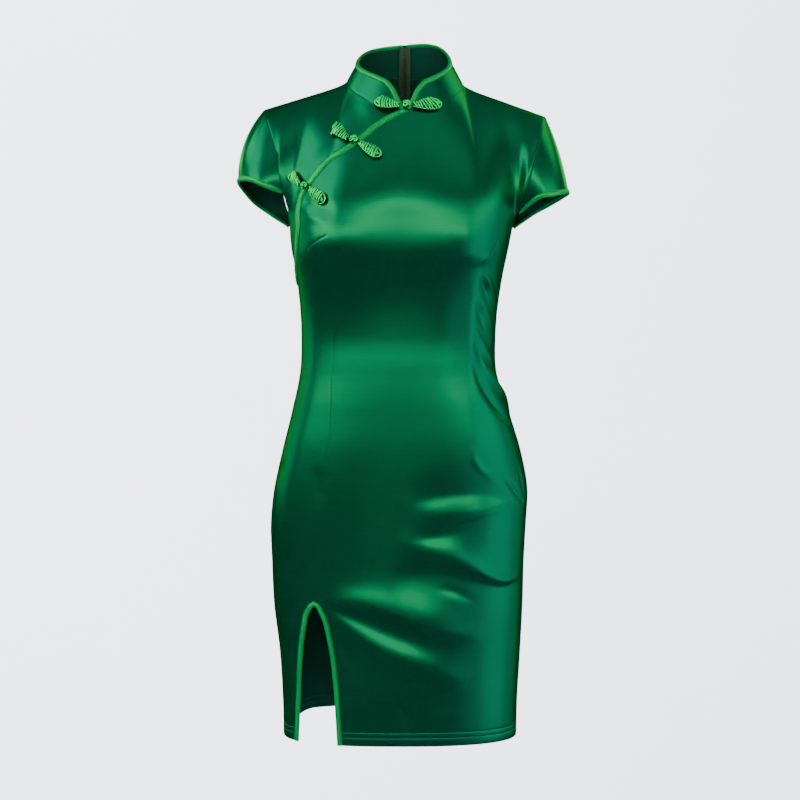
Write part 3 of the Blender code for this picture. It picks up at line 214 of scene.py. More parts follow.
# Creases of the front, each through places on a line, in thousandths: across, height, depth, and the
# widths above and below. Across is -1 at the right side seam, 0 at the centre front, 1 at the left side
# seam and 2 at the centre back. Depth is negative for a hollow.
CREASES = (
    # hump over the left hip, its lower edge
    ((36, -550, 0, 18, 12), (132, -543, -2.8, 20, 13), (238, -539, -3.4, 20, 13),
     (364, -538, -3.4, 19, 12), (462, -540, -3, 15, 10), (560, -545, -2, 10, 7), (678, -551, 0, 8, 6)),
    # ridge below it
    ((46, -561, 0, 9, 10), (152, -564, 0.9, 10, 12), (290, -566, 1.3, 9, 12), (394, -564, 1.8, 8, 9),
     (497, -558, 1.4, 6, 7), (595, -554, 0, 5, 6)),
    # second hollow
    ((17, -598, 0, 11, 10), (119, -594, -2, 12, 12), (217, -589, -2.5, 13, 13), (301, -582, -2.2, 12, 15),
     (386, -573, -1.2, 8, 14), (454, -566, 0, 6, 10)),
    # long ridge that hooks at the left side
    ((-31, -596, 0, 10, 10), (47, -600, 1.8, 13, 12), (154, -611, 3, 16, 10), (255, -621, 3.8, 16, 8),
     (349, -631, 4.4, 13, 6.5), (456, -644, 4, 10, 5.5), (562, -651, 3.2, 7.5, 4.5),
     (671, -649, 2.4, 5.5, 4), (791, -644, 0, 5, 3)),
    # hollow below it
    ((-49, -646, 0, 10, 20), (97, -639, -4.4, 12, 26), (245, -642, -5, 10, 26), (378, -652, -2.8, 7, 24),
     (500, -660, -1, 5, 20), (646, -664, 0, 4, 10)),
    # small crease in the broad ridge
    ((175, -657, 0, 5, 6), (255, -661, -1, 5, 6), (328, -669, -1, 5, 6), (393, -677, 0, 5, 6)),
    # broad ridge above the slit
    ((-361, -677, 0, 14, 8), (-237, -676, 5.4, 20, 10), (-84, -683, 9.2, 26, 11),
     (62, -698, 10.2, 28, 12), (213, -709, 6.4, 26, 14), (331, -716, 1.8, 20, 14), (434, -722, 0, 14, 8)),
    # hollow from the slit
    ((-361, -681, 0, 4, 5), (-223, -694, -1.8, 8, 9), (-85, -709, -2.6, 10, 12), (27, -720, -2.4, 12, 13),
     (139, -733, -1, 12, 12), (230, -743, 0, 10, 10)),
    # ridge from the slit
    ((-373, -683, 0, 4, 5), (-293, -698, 2.2, 8, 8), (-212, -714, 3.8, 11, 10), (-87, -735, 5.4, 15, 14),
     (64, -750, 6, 17, 18), (202, -763, 4.2, 17, 18), (349, -779, 0, 12, 14)),
    # stroke beside the slit
    ((-311, -730, 0, 4, 4), (-281, -755, 1.2, 5, 4), (-241, -779, 1.2, 5, 4), (-197, -801, 0, 4, 4)),
    # creases above the hem
    ((-74, -785, 0, 5, 5), (-2, -808, -0.8, 5, 6), (92, -833, 0, 5, 5)),
    ((205, -822, 0, 3, 5), (268, -816, 0.8, 4, 5), (331, -809, 0, 4, 4)),
    # creases drawn to the left hip
    ((549, -518, 0, 3, 4), (617, -531, -2.8, 4.5, 4.5), (701, -546, -2.5, 3.5, 3.5),
     (774, -554, 0, 3, 3)),
    ((721, -501, 0, 3, 4), (734, -524, -1.5, 3, 3), (769, -547, 0, 3, 3)),
    # end of the left dart
    ((388, -479, 0, 4, 4), (383, -497, 1.2, 4, 4), (404, -508, 1.5, 4, 4), (447, -515, 1, 4, 4),
     (499, -528, 0, 4, 4)),
    # left dart, from bust to waist
    ((497, -254, 0, 12, 12), (485, -281, 2, 13, 14), (482, -319, 2.6, 14, 16), (490, -357, 2.6, 14, 16),
     (472, -396, 2, 13, 16), (427, -434, 1.4, 12, 14), (394, -471, 0.8, 10, 12), (389, -493, 0, 10, 10)),
    # creases from the left dart to the side
    ((527, -258, 0, 3, 3), (595, -270, 1.8, 4.5, 4.5), (705, -288, 0, 3, 3)),
    ((499, -263, 0, 3, 3), (554, -278, -1.8, 4.5, 4.5), (640, -298, 0, 3, 3)),
    ((497, -284, 0, 3, 3), (582, -301, 1.8, 5, 5), (736, -325, 0, 3, 3)),
    ((479, -293, 0, 3, 3), (542, -312, -1.8, 5, 5), (641, -335, 0, 3, 3)),
    ((507, -330, 0, 3, 3), (622, -353, 2, 5.5, 5.5), (822, -382, 0, 4, 4)),
    ((484, -341, 0, 3, 3), (552, -364, -1.9, 5.5, 5.5), (630, -391, 0, 4, 4)),
    ((504, -356, 0, 4, 4), (612, -379, 2.8, 7, 7), (769, -401, 3.4, 8, 8), (942, -424, 3, 7, 7),
     (944, -442, 0, 5, 5)),
    ((476, -370, 0, 4, 4), (542, -397, -2.8, 7, 7), (602, -420, -3.4, 8, 8), (685, -439, -2.8, 7, 7),
     (788, -455, 0, 5, 5)),
    # below the left bust
    ((464, -247, 0, 4, 4), (527, -240, 1, 4, 5), (588, -237, 0, 4, 4)),
    # the cloth beside the right armhole, drawn back
    ((-750, -35, 0, 16, 14), (-770, -70, 2.6, 16, 14), (-780, -115, 2.6, 16, 14),
     (-800, -150, 1.6, 16, 14), (-820, -182, 0, 16, 14)),
    ((-990, -30, 0, 20, 12), (-990, -65, -6, 20, 12), (-990, -115, -7, 20, 12), (-990, -150, -4, 18, 12),
     (-990, -182, 0, 16, 12)),
)
CREASE_POINTS = 25
CREASE_REACH = 2.6  # how many times its width a crease is worked out to
CREASE_EDGE = 1.8  # how steeply a crease ends at its width

# Wider folds, in thousandths: across and height of both ends, bow, widths above and below, the shares of
# its length over which each end dies away, and depth.
FOLDS = (
    # bust and waist
    (-800, -188, 800, -192, 0, 22, 22, 250, 250, -1),
    (-800, -234, 800, -238, 0, 20, 24, 250, 250, 2),
    (-750, -380, 600, -380, 0, 90, 55, 300, 300, 0.8),
    # right front of the skirt
    (-440, -500, -400, -560, 2, 7, 7, 400, 400, -1),
    (-980, -520, -700, -505, 0, 10, 12, 300, 350, -1.4),
    # below the third frog and beside the armholes
    (-640, -168, -340, -190, 0, 9, 9, 300, 300, -2),
    (-600, -182, -400, -200, 2, 7, 8, 300, 400, 1.2),
    (720, -214, 980, -200, 0, 7, 8, 350, 200, -1.2),
    # back of the waist
    (1220, -398, 1940, -358, 6, 14, 11, 300, 300, -4),
    (1300, -432, 1900, -402, 4, 12, 12, 300, 300, 2.8),
    (1180, -424, 1700, -446, 6, 11, 10, 300, 350, -2.2),
    (2060, -352, 2720, -388, 6, 14, 11, 300, 300, -3.6),
    (2100, -392, 2660, -420, 6, 12, 10, 350, 300, 2),
    # back of the skirt
    (1100, -552, 1720, -560, 20, 20, 14, 150, 350, 2.8),
    (1240, -596, 1820, -636, 0, 16, 11, 300, 300, -3.5),
    (1120, -600, 1700, -676, 4, 13, 18, 200, 350, 3.6),
    (2120, -640, 2800, -604, 0, 16, 11, 300, 300, -4),
    (2240, -672, 2880, -628, 2, 13, 18, 350, 200, 3.4),
    (1600, -742, 2300, -768, 4, 16, 20, 350, 350, -1.8),
)
# Edge of the opening, from the centre front of the neck to the right side seam: across and height.
OPENING_EDGE = (
    (0.000, 0.000), (-0.050, -0.0125), (-0.145, -0.044), (-0.240, -0.080), (-0.360, -0.113),
    (-0.485, -0.133), (-0.555, -0.147), (-0.640, -0.163), (-0.666, -0.180), (-0.665, -0.203),
    (-0.710, -0.226), (-0.830, -0.248), (-1.000, -0.264),
)
# The slit in the front skirt, up one side and down the other: across and height.
SLIT_EDGE = (
    (-0.595, HEM), (-0.572, -0.804), (-0.540, -0.745), (-0.492, -0.708), (-0.460, -0.689),
    (-0.428, -0.681), (-0.392, -0.694), (-0.364, -0.728), (-0.345, -0.775), (-0.325, HEM),
)
# Top edge of the collar, from the centre front (angle 0) to the centre back: angle, height above its seam.
COLLAR_EDGE = (
    (0.00, 0.0000), (0.10, 0.0095), (0.20, 0.0215), (0.37, 0.0312), (0.60, 0.0330), (0.90, 0.0310),
    (1.20, 0.0288), (1.57, 0.0298), (2.10, 0.0372), (2.60, 0.0418), (math.pi, 0.0435),
)
COLLAR_NOTCH = 0.45  # angle over which the collar's edge rounds up from the centre front

# Hem of a cap sleeve, with x taken outwards, by its place along the armhole: 0 at the armpit, 1 at the
# shoulder tip by the front, and 2 at the armpit by the back. It starts and ends on the armhole. Columns:
# place, x, y, and z on the right and on the left sleeve.
SLEEVE_HEM = (
    (0.45, 0.1760, -0.0585, -0.1515, -0.1600),
    (0.62, 0.1930, -0.0535, -0.1445, -0.1560),
    (0.82, 0.2110, -0.0310, -0.1400, -0.1495),
    (1.00, 0.2180, 0.0030, -0.1400, -0.1465),
    (1.20, 0.2150, 0.0340, -0.1450, -0.1470),
    (1.45, 0.2010, 0.0530, -0.1590, -0.1550),
    (1.70, 0.1780, 0.0550, -0.1740, -0.1690),
)
SLEEVE_SPAN = {-1: (5 / 16, 31 / 16), 1: (3 / 16, 31 / 16)}  # places where the right and left sleeves end
SLEEVE_TIP = 0.003  # how far the sleeve's ends stand out from the armhole
SLEEVE_REACH = (-0.035, 0.03)  # how far past its ends, along the armhole, its hem aims
SLEEVE_BULGE = {-1: 0.0105, 1: 0.0040}
BULGE_WAY = (1.0, 0.6, 0.3)  # how much of it goes outwards, forwards or back, and up

# Frog closures: two buds of looped cord to each knot. Each bud has its name, the cloth it lies on, its
# round end and its tip, its width, and the lift of both ends. Across and height are those of the cloth,
# and on the neck they are the angle from the centre front and the height above the seam.
BUDS = (
    ("frog_neck_right", "neck", (-0.530, 0.000), (-0.100, 0.001), 0.0170, (0.0012, 0.0022)),
    ("frog_neck_left", "neck", (0.650, -0.004), (0.135, 0.001), 0.0165, (0.0010, 0.0022)),
    ("frog_chest_right", "underlap", (-0.452, -0.0895), (-0.309, -0.0955), 0.0150, (0.0009, 0.0050)),
    ("frog_chest_left", "body", (-0.112, -0.099), (-0.232, -0.0915), 0.0150, (0.0009, 0.0022)),
    ("frog_armpit_right", "underlap", (-0.800, -0.1285), (-0.615, -0.152), 0.0150, (0.0009, 0.0050)),
    ("frog_armpit_left", "body", (-0.415, -0.177), (-0.520, -0.160), 0.0160, (0.0009, 0.0022)),
)
# A bud's half width, as a share of its own, over the way from its round end to its tip
BUD_SHAPE = (
    (0.00, 0.00), (0.03, 0.45), (0.10, 0.80), (0.22, 1.00), (0.42, 0.99), (0.62, 0.86), (0.82, 0.64),
    (1.00, 0.42),
)
# Padding, inner loop and windings of a bud, by shares of its length from the round end
PAD_ENDS = (0.06, 1.0)
PAD_LIFT = 0.0006
PAD_FLAT = 0.34  # its thickness, as a share of its width
INNER_LOOP = 0.26
INNER_LIFT = 0.0014
WINDING_ENDS = (0.26, 0.94)
WINDINGS = 8
WINDING_SLANT = 0.045
WINDING_BEND = 0.012
WINDING_LIFT = 0.0008
WINDING_ARCH = 0.26  # how much further a winding arches up, as a share of half its length
WINDING_TAPER = 0.18  # how much thinner its cord gets over the bud
KNOTS = (  # name, cloth, place and width
    ("frog_neck_knot", "neck", (0.022, 0.003), 0.0115),
    ("frog_chest_knot", "body", (-0.268, -0.0915), 0.0130),
    ("frog_armpit_knot", "body", (-0.568, -0.1550), 0.0120),
)
KNOT_LIFT = 0.0021
KNOT_DOME = 0.0030
KNOT_SWING = 0.38  # how far in and out its cord swings, as a share of its reach
KNOT_WEAVE = 0.0010  # how far the cord rises and sinks as it crosses itself
KNOT_WEAVE_LIFT = 0.0009
KNOT_CORE = 0.80  # radius of the ball inside, as a share of the cord's reach
KNOT_CORE_HEIGHT = 0.0026  # half its height

# Section of a bias binding, in thousandths: place across the strip, and metres aside and above the cloth
BINDING_ROUND = (
    (1000, 0, -0.2), (1000, 0, 0.7), (960, 0, 1.1), (910, 0, 1.1), (880, 0, 0.3), (850, 0, 0.3),
    (810, 0, 1.3), (600, 0, 1.8), (350, 0, 1.9), (120, 0, 1.5), (30, 0, 1.0), (0, -0.8, 0.3),
    (0, -1.0, -0.6), (0, -0.7, -1.8), (80, 0, -2.2), (400, 0, -2.2), (620, 0, -1.4),
)
BINDING_PROBE = 1.5e-3  # how far in from an edge the cloth's way is measured
BINDING_EVEN = 6  # how many places before and after each its width is evened out over

# The zip's slider and pull tab, in the collar's own lean: across, out from the collar, and up.
ZIP_END = -0.40
ZIP_TAPE = 0.0008
ZIP_TAPE_GAP = 0.0012
SLIDER_TOP = 0.0350  # above the collar seam
SLIDER_WIDTH = 0.0052
SLIDER_LENGTH = 0.0080
SLIDER_PLATE = 0.0012
LUG = 0.0008
BAR = 0.0011
BAR_HEIGHT = 0.0022  # clear height under the bar
BAR_CORNER = 0.0009
# Outlines of the slider and the tab's blade: share of the length, share of the half width
SLIDER_SHAPE = ((0.0, 0.86), (0.06, 1.0), (0.3, 1.0), (0.6, 0.78), (0.9, 0.66), (1.0, 0.55))
TAB_SHAPE = (
    (0.0, 0.60), (0.03, 0.66), (0.10, 0.72), (0.22, 0.80), (0.60, 1.0), (0.82, 1.12), (0.92, 1.05),
    (0.98, 0.70), (1.0, 0.35),
)
TAB_WIDTH = 0.0030
TAB_LENGTH = 0.0190
TAB_PLATE = 0.0010
TAB_EYE = ((-0.0010, 0.0012), (-0.0010, 0.0018), (0.0010, 0.0018), (0.0010, 0.0012))
EYE_RADIUS = 0.0019
COIL_ABOVE, COIL_BELOW = 0.001, -0.003  # it passes the collar seam between these heights
COIL_END = 0.006  # above the end of the zip's tape
COIL_CLEAR = 0.0004
COIL_PITCH = 0.0017
COIL_WIDTH = 0.0019
COIL_DEPTH = 0.0007
COIL_RADIUS = 0.00042

# Sewn lines that draw the cloth in: the darts, and the hem's lines of stitches


def hem_lines(*places):
    """Both lines of the hem, through places across."""
    return tuple(tuple((across, HEM + rise) for across in places) for rise in HEM_STITCHES)


FRONT_SEAMS = (
    ((-0.434, -0.332), (-0.437, -0.395), (-0.397, -0.459), (-0.387, -0.499)),
    ((-0.560, -0.231), (-0.517, -0.225), (-0.420, -0.216)),
    ((0.537, -0.240), (0.599, -0.219)),
    *hem_lines(-0.985, -0.625),
    *hem_lines(-0.300, 0.300, 0.985),
)
BACK_DART = ((1.475, -0.300), (1.460, -0.392), (1.470, -0.500))
LEFT_SEAMS = (BACK_DART, *hem_lines(1.015, 1.985))
RIGHT_SEAMS = (tuple((4 - across, up) for across, up in BACK_DART), *hem_lines(2.015, 2.985))
SEAMS = FRONT_SEAMS + LEFT_SEAMS + RIGHT_SEAMS


def curve_through(knots, values):
    """A smooth curve through values at rising knots: cubic, with slopes taken from the neighbours."""
    knots, values = np.asarray(knots, float), np.asarray(values, float)
    steps = np.diff(knots)
    chords = np.diff(values) / steps
    slopes = np.empty_like(values)
    slopes[0], slopes[-1] = chords[0], chords[-1]
    slopes[1:-1] = (chords[:-1] * steps[1:] + chords[1:] * steps[:-1]) / (steps[1:] + steps[:-1])

    def at(x):
        x = np.asarray(x, float)
        i = np.clip(np.searchsorted(knots, x) - 1, 0, len(steps) - 1)
        t = (x - knots[i]) / steps[i]
        return hermite(values[i], slopes[i] * steps[i], values[i + 1], slopes[i + 1] * steps[i], t)

    return at


def curves_of(table, columns):
    """A smooth curve for each further column of a table over its first column."""
    knots, *others = np.array(table, float).T
    return {name: curve_through(knots, values) for name, values in zip(columns[1:], others)}


def hermite(start, leave, end, arrive, t):
    """A cubic from start to end with the given end directions."""
    return (
        start * (2 * t**3 - 3 * t**2 + 1)
        + leave * (t**3 - 2 * t**2 + t)
        + end * (3 * t**2 - 2 * t**3)
        + arrive * (t**3 - t**2)
    )


def ease(x):
    """0 below 0, 1 above 1, and smooth between."""
    x = np.clip(x, 0.0, 1.0)
    return x * x * (3 - 2 * x)


def stacked(*values):
    """Points from their separate coordinates."""
    return np.stack(values, axis=-1)


def lengths(vectors):
    return np.linalg.norm(vectors, axis=-1)


def unit(vectors):
    return vectors / np.maximum(np.linalg.norm(vectors, axis=-1, keepdims=True), 1e-12)


def paired(across, up):
    """Both as arrays of one shape."""
    return np.broadcast_arrays(np.asarray(across, float), np.asarray(up, float))


def along(points):
    """How far along a line each of its points lies."""
    return np.concatenate([[0], np.cumsum(lengths(np.diff(points, axis=0)))])


def smooth_path(points, count, metres=None):
    """count points along a smooth path through the given ones, evenly by their places in metres."""
    points = np.asarray(points, float)
    knots = along(points if metres is None else metres)
    at = np.linspace(0, knots[-1], count)
    return stacked(*[curve_through(knots, values)(at) for values in points.T])


def crease_line(rows):
    """A smooth line through the places of a crease, in metres, with its depth and widths."""
    rows = np.array(rows) / 1000 * [*BODY_PLAN, 1, 1, 1]
    return smooth_path(rows, CREASE_POINTS, rows[:, :2])


def nearest(points, line):
    """For each point, the stretch of a line nearest to it, the share along that, and how far off it is."""
    start, way = line[:-1], np.diff(line, axis=0)
    square = np.maximum((way * way).sum(-1), 1e-15)
    share = np.clip(((points[:, None] - start) * way).sum(-1) / square, 0, 1)
    off = points[:, None] - (start + share[..., None] * way)
    away = lengths(off)
    one, best = np.arange(len(points)), away.argmin(axis=1)
    return best, share[one, best], off[one, best], away[one, best]


def clearance(points, line):
    """How far each point is from a line."""
    parts = np.array_split(points, len(points) // 2000 + 1)
    return np.concatenate([nearest(part, line)[3] for part in parts])


def in_reach(points, line, reach):
    """Which points lie in the box around a line, reach wider all round."""
    low, high = line.min(axis=0) - reach, line.max(axis=0) + reach
    return np.flatnonzero(((points > low) & (points < high)).all(axis=1))


def close_by(points, line, reach):
    """How far each point is from a line, where that is less than reach. It is reach elsewhere."""
    near = in_reach(points, line, reach)
    found = np.full(len(points), float(reach))
    found[near] = np.minimum(clearance(points[near], line), reach)
    return found


SECTION = curves_of(SECTIONS, SECTION_COLUMNS)
ARRIVE_AT_FRONT = curves_of(ARRIVE_FRONT, ARRIVE_COLUMNS)
ARRIVE_AT_BACK = curves_of(ARRIVE_BACK, ARRIVE_COLUMNS)
COLLAR_TOP = curves_of(COLLAR_EDGE, ("angle", "height"))["height"]
CREASE_LINES = [crease_line(rows) for rows in CREASES]


# Forms: each turns two arrays, across and up, into points


def stance(points):
    """Moves points of an upright, even figure to how the figure stands."""
    share = ease((points[..., 2] - STANCE_LOW) / (STANCE_HIGH - STANCE_LOW))
    moved = points.copy()
    moved[..., 0] -= SHIFT * (1 - share)
    moved[..., 2] -= ROLL * points[..., 0] * share
    return moved


def ring(around, height):
    """The body's level section, where around is measured as for the folds."""
    turn = (1 - around) * math.pi / 2
    along_x, along_y = np.cos(turn), np.sin(turn)
    in_front = along_y >= 0
    half_width = np.where(along_x >= 0, SECTION["left"](height), SECTION["right"](height))
    depth = np.where(in_front, SECTION["front"](height), SECTION["back"](height))
    square = np.where(in_front, SECTION["front_square"](height), SECTION["back_square"](height))
    reach = (np.abs(along_x) ** square + np.abs(along_y) ** square) ** (-1 / square)
    x = half_width * along_x * reach
    y = -depth * along_y * reach
    beside_cup = (np.abs(x) - CUP_PLACE) / CUP_SPREAD_X
    above_cup = (height - CUP_HEIGHT) / CUP_SPREAD_Z
    cup = np.exp(-(beside_cup**2 + above_cup**2) / 2)
    y -= np.where(in_front, CUP_DEPTH * cup * ease(along_y * 2), 0)
    return stacked(x, y, height + 0 * x)


def neckline(angle, side):
    """The collar seam: angle is 0 at the centre front and pi at the centre back, side -1 is the right."""
    front = np.cos(angle)
    depth = np.where(front > 0, NECK_POINT_Y - NECK_FRONT, NECK_BACK - NECK_POINT_Y)
    z = NECK_POINT_Z - NECK_FALL * front - NECK_DIP * front**2
    return stacked(side * NECK_HALF_WIDTH * np.sin(angle), NECK_POINT_Y - depth * front, z)


def shoulder_seam(share, side):
    """From the neck point (share 0) to the shoulder tip (share 1)."""
    out = (SHOULDER_TIP_X - NECK_HALF_WIDTH) * share
    hollow = SHOULDER_HOLLOW * (1 - np.exp(-out / SHOULDER_HOLLOW_REACH))
    z = NECK_POINT_Z - SHOULDER_SLOPE * out - hollow
    return stacked(side * (NECK_HALF_WIDTH + out), NECK_POINT_Y + 0 * out, z)


def yoke(around, share):
    """Above the armpit: share is 0 there and 1 at the neckline and shoulder seam."""
    at_front = around <= 1
    across = np.where(at_front, around, 2 - around)
    side = np.where(across >= 0, 1.0, -1.0)
    out = np.abs(across)
    start = ring(around, np.full_like(around, ARMPIT))
    below = ring(around, np.full_like(around, ARMPIT - TOP_MARGIN))
    angle = np.clip(out / NECK_SHARE, 0, 1) * math.pi / 2
    angle = np.where(at_front, angle, math.pi - angle)
    shoulder = shoulder_seam((out - NECK_SHARE) / (1 - NECK_SHARE), side)
    end = np.where((out <= NECK_SHARE)[..., None], neckline(angle, side), shoulder)
    pull = ease((out - ARMHOLE_PULL) / (1 - ARMHOLE_PULL))[..., None] ** 2
    length = np.linalg.norm(end - start, axis=-1, keepdims=True)
    armhole = np.where(at_front[..., None], ARMHOLE_LEAVE_FRONT, ARMHOLE_LEAVE_BACK)
    leave = unit(start - below) * length * (1 - pull) + armhole * pull
    ways = [np.where(at_front, ARRIVE_AT_FRONT[name](out), ARRIVE_AT_BACK[name](out)) for name in "xyz"]
    arrive = stacked(side * ways[0], *ways[1:])
    points = hermite(start, leave, end, arrive, share[..., None])
    bow = ARMHOLE_BOW * np.exp(-(((share - ARMHOLE_BOW_PLACE) / ARMHOLE_BOW_SPREAD) ** 2))
    points[..., 0] += side * bow * pull[..., 0]
    return points


def bare_body(around, height):
    """The body with no folds. Height is real up to the armpit, and 0 at the neckline and shoulder."""
    around, height = paired(around, height)
    low = ring(around, np.minimum(height, ARMPIT))
    inward = 1 - BACK_SIDE - np.abs(around - 2)
    rise = BACK_HEM_RISE * ease(inward / BACK_SIDE_EASE) * ease((1 + inward) / BACK_SIDE_EASE)
    low[..., 2] += rise * ease((BACK_HEM_TOP - height) / BACK_HEM_EASE)
    high = yoke(around, np.clip(1 - height / ARMPIT, 0, 1))
    return np.where((height > ARMPIT)[..., None], high, low)


def fold_height(around, height):
    """How far the folds lift the cloth."""
    total = np.zeros_like(around)
    for across_1, up_1, across_2, up_2, bow, above, below, fade_1, fade_2, depth in np.array(FOLDS) / 1000:
        way = np.array([across_2 - across_1, up_2 - up_1]) * BODY_PLAN
        length = np.linalg.norm(way)
        way /= length
        x, z = (around - across_1) * BODY_PLAN[0], height - up_1
        share = (x * way[0] + z * way[1]) / length
        beside = z * way[0] - x * way[1] - bow * 4 * share * (1 - share)
        taper = ease(share / fade_1) * ease((1 - share) / fade_2)
        total += depth * taper * np.exp(-((beside / np.where(beside > 0, above, below)) ** 2))
    return total


def on_plan(around, height):
    """Places on the body's plan, in metres."""
    return stacked(around.ravel(), height.ravel()) * BODY_PLAN


def crease_height(around, height):
    """How far the creases of the front lift the cloth."""
    flat = on_plan(around, height)
    total = np.zeros(len(flat))
    for line in CREASE_LINES:
        near = in_reach(flat, line[:, :2], CREASE_REACH * line[:, 3:].max())
        if not len(near):
            continue
        stretch, share, off, away = nearest(flat[near], line[:, :2])
        way = np.diff(line[:, :2], axis=0)[stretch]
        mixed = line[stretch + 1] * share[:, None] + line[stretch] * (1 - share[:, None])
        depth, above, below = mixed.T[2:]
        width = np.where(off[:, 1] * way[:, 0] - off[:, 0] * way[:, 1] > 0, above, below)
        total[near] += depth * np.exp(-((away / width) ** CREASE_EDGE))
    return total.reshape(around.shape)


def seam_dip(around, height):
    """How far the sewn lines draw the cloth in."""
    flat = on_plan(around, height)
    away = np.min([close_by(flat, np.array(line) * BODY_PLAN, 3 * SEAM_WIDTH) for line in SEAMS], axis=0)
    return (SEAM_DEPTH * np.exp(-((away / SEAM_WIDTH) ** 2))).reshape(around.shape)


def numeric_normals(form, across, up, step=2e-3):
    """Unit normals of a form, pointing out."""
    across_way = form(across + step, up) - form(across - step, up)
    up_way = form(across, up + step) - form(across, up - step)
    return unit(np.cross(across_way, up_way))


def body(around, height):
    """The worn body cloth, folds included."""
    around, height = paired(around, height)
    normals = numeric_normals(bare_body, around, np.minimum(height, -TOP_MARGIN))
    lift = fold_height(around, height) + crease_height(around, height) - seam_dip(around, height)
    return stance(bare_body(around, height) + normals * lift[..., None])


def underlap(around, height):
    """The body cloth, sunk by the thickness of the front where the front laps over it."""
    around, height = paired(around, height)
    away = clearance(on_plan(around, height), underlap_edge() * BODY_PLAN).reshape(around.shape)
    sunk = (CLOTH + LAP_GAP) * (1 - ease((away - LAP) / LAP_EASE))
    normals = numeric_normals(body, around, np.minimum(height, -TOP_MARGIN))
    return body(around, height) - normals * sunk[..., None]


def collar(angle, height):
    """The stand collar: angle is 0 at the centre front and positive to the left, height is from its seam."""
    angle, height = paired(angle, height)
    side = np.where(angle >= 0, 1.0, -1.0)
    turn = np.abs(angle)
    front = np.cos(turn)
    lean = np.where(front > 0, COLLAR_LEAN_FRONT, COLLAR_LEAN_BACK) * front
    rise = stacked(-side * COLLAR_LEAN_SIDE * np.sin(turn), lean, 1 + 0 * lean)
    return stance(neckline(turn, side) + rise * height[..., None])


def collar_height(angle):
    """Height of the collar's top edge above its seam, with the rounded opening in front."""
    return COLLAR_TOP(np.abs(angle)) + COLLAR_TILT * np.sin(angle) * (1 - np.cos(angle)) / 2


def neck(angle, up):
    """The cloth around the collar seam: the collar above it and the body below it."""
    angle, up = paired(angle, up)
    below = body(angle * NECK_SHARE / (math.pi / 2), np.minimum(up, 0) / NECK_DROP)
    return np.where((up >= 0)[..., None], collar(angle, np.maximum(up, 0)), below)


def armhole_point(place, side):
    """Along the armhole: 0 is the armpit, 1 the shoulder tip by the front, and 2 the armpit by the back."""
    place = np.asarray(place, float)
    front = place <= 1
    around = np.where(front, side * 1.0, BACK_START if side > 0 else 3.0)
    return body(around, ARMPIT * (1 - np.where(front, place, 2 - place)))


def sleeve(side):
    """The cap sleeve's form: across runs along the armhole, up from 0 at its hem to 1 at the armhole seam.

    Across is the place on the armhole on the left, and that place taken from 2 on the right.
    """
    first, last = SLEEVE_SPAN[side]
    places, x, y, z_right, z_left = np.array(SLEEVE_HEM).T
    middle = stacked(side * x, y, z_left if side > 0 else z_right)
    ends = armhole_point(np.add(SLEEVE_SPAN[side], SLEEVE_REACH), side) + [side * SLEEVE_TIP, 0, 0]
    rows = np.vstack([ends[:1], stance(middle), ends[1:]])
    hem = [curve_through([first, *places, last], values) for values in rows.T]

    def form(across, up):
        across, up = paired(across, up)
        place = across if side > 0 else 2 - across
        top = armhole_point(np.clip(place, 0, 2), side)
        low = stacked(*[line(place) for line in hem])
        share = (place - first) / (last - first)
        turn = (share - 0.5) * math.pi
        out = stacked(side * np.cos(turn), np.sin(turn), np.cos(turn)) * BULGE_WAY
        bulge = SLEEVE_BULGE[side] * 4 * up * (1 - up) * np.clip(4 * share * (1 - share), 0, 1)
        return low + (top - low) * up[..., None] + out * bulge[..., None]

    return form


# Cloth


def spaced(points, step):
    """A line through points, with more points put in so that none is further than step from the next."""
    found = [points[:1]]
    for a, b in zip(points[:-1], points[1:]):
        count = max(1, round(math.hypot(*(b - a)) / step))
        found.append(a + (b - a) * (np.arange(1, count + 1) / count)[:, None])
    return np.concatenate(found)


def leftward(line, plan):
    """What to add across and up to go one metre to a line's left."""
    way = np.gradient(line * plan, axis=0)
    return unit(stacked(-way[:, 1], way[:, 0])) / plan


def inside(points, loop):
    """Which points lie inside a closed loop."""
    x, y = points[:, :1], points[:, 1:]
    x1, y1 = loop.T
    x2, y2 = np.roll(x1, -1), np.roll(y1, -1)
    crosses = (y1 > y) != (y2 > y)
    with np.errstate(divide="ignore", invalid="ignore"):
        at = x1 + (y - y1) * (x2 - x1) / (y2 - y1)
    return (crosses & (x < at)).sum(axis=1) % 2 == 1


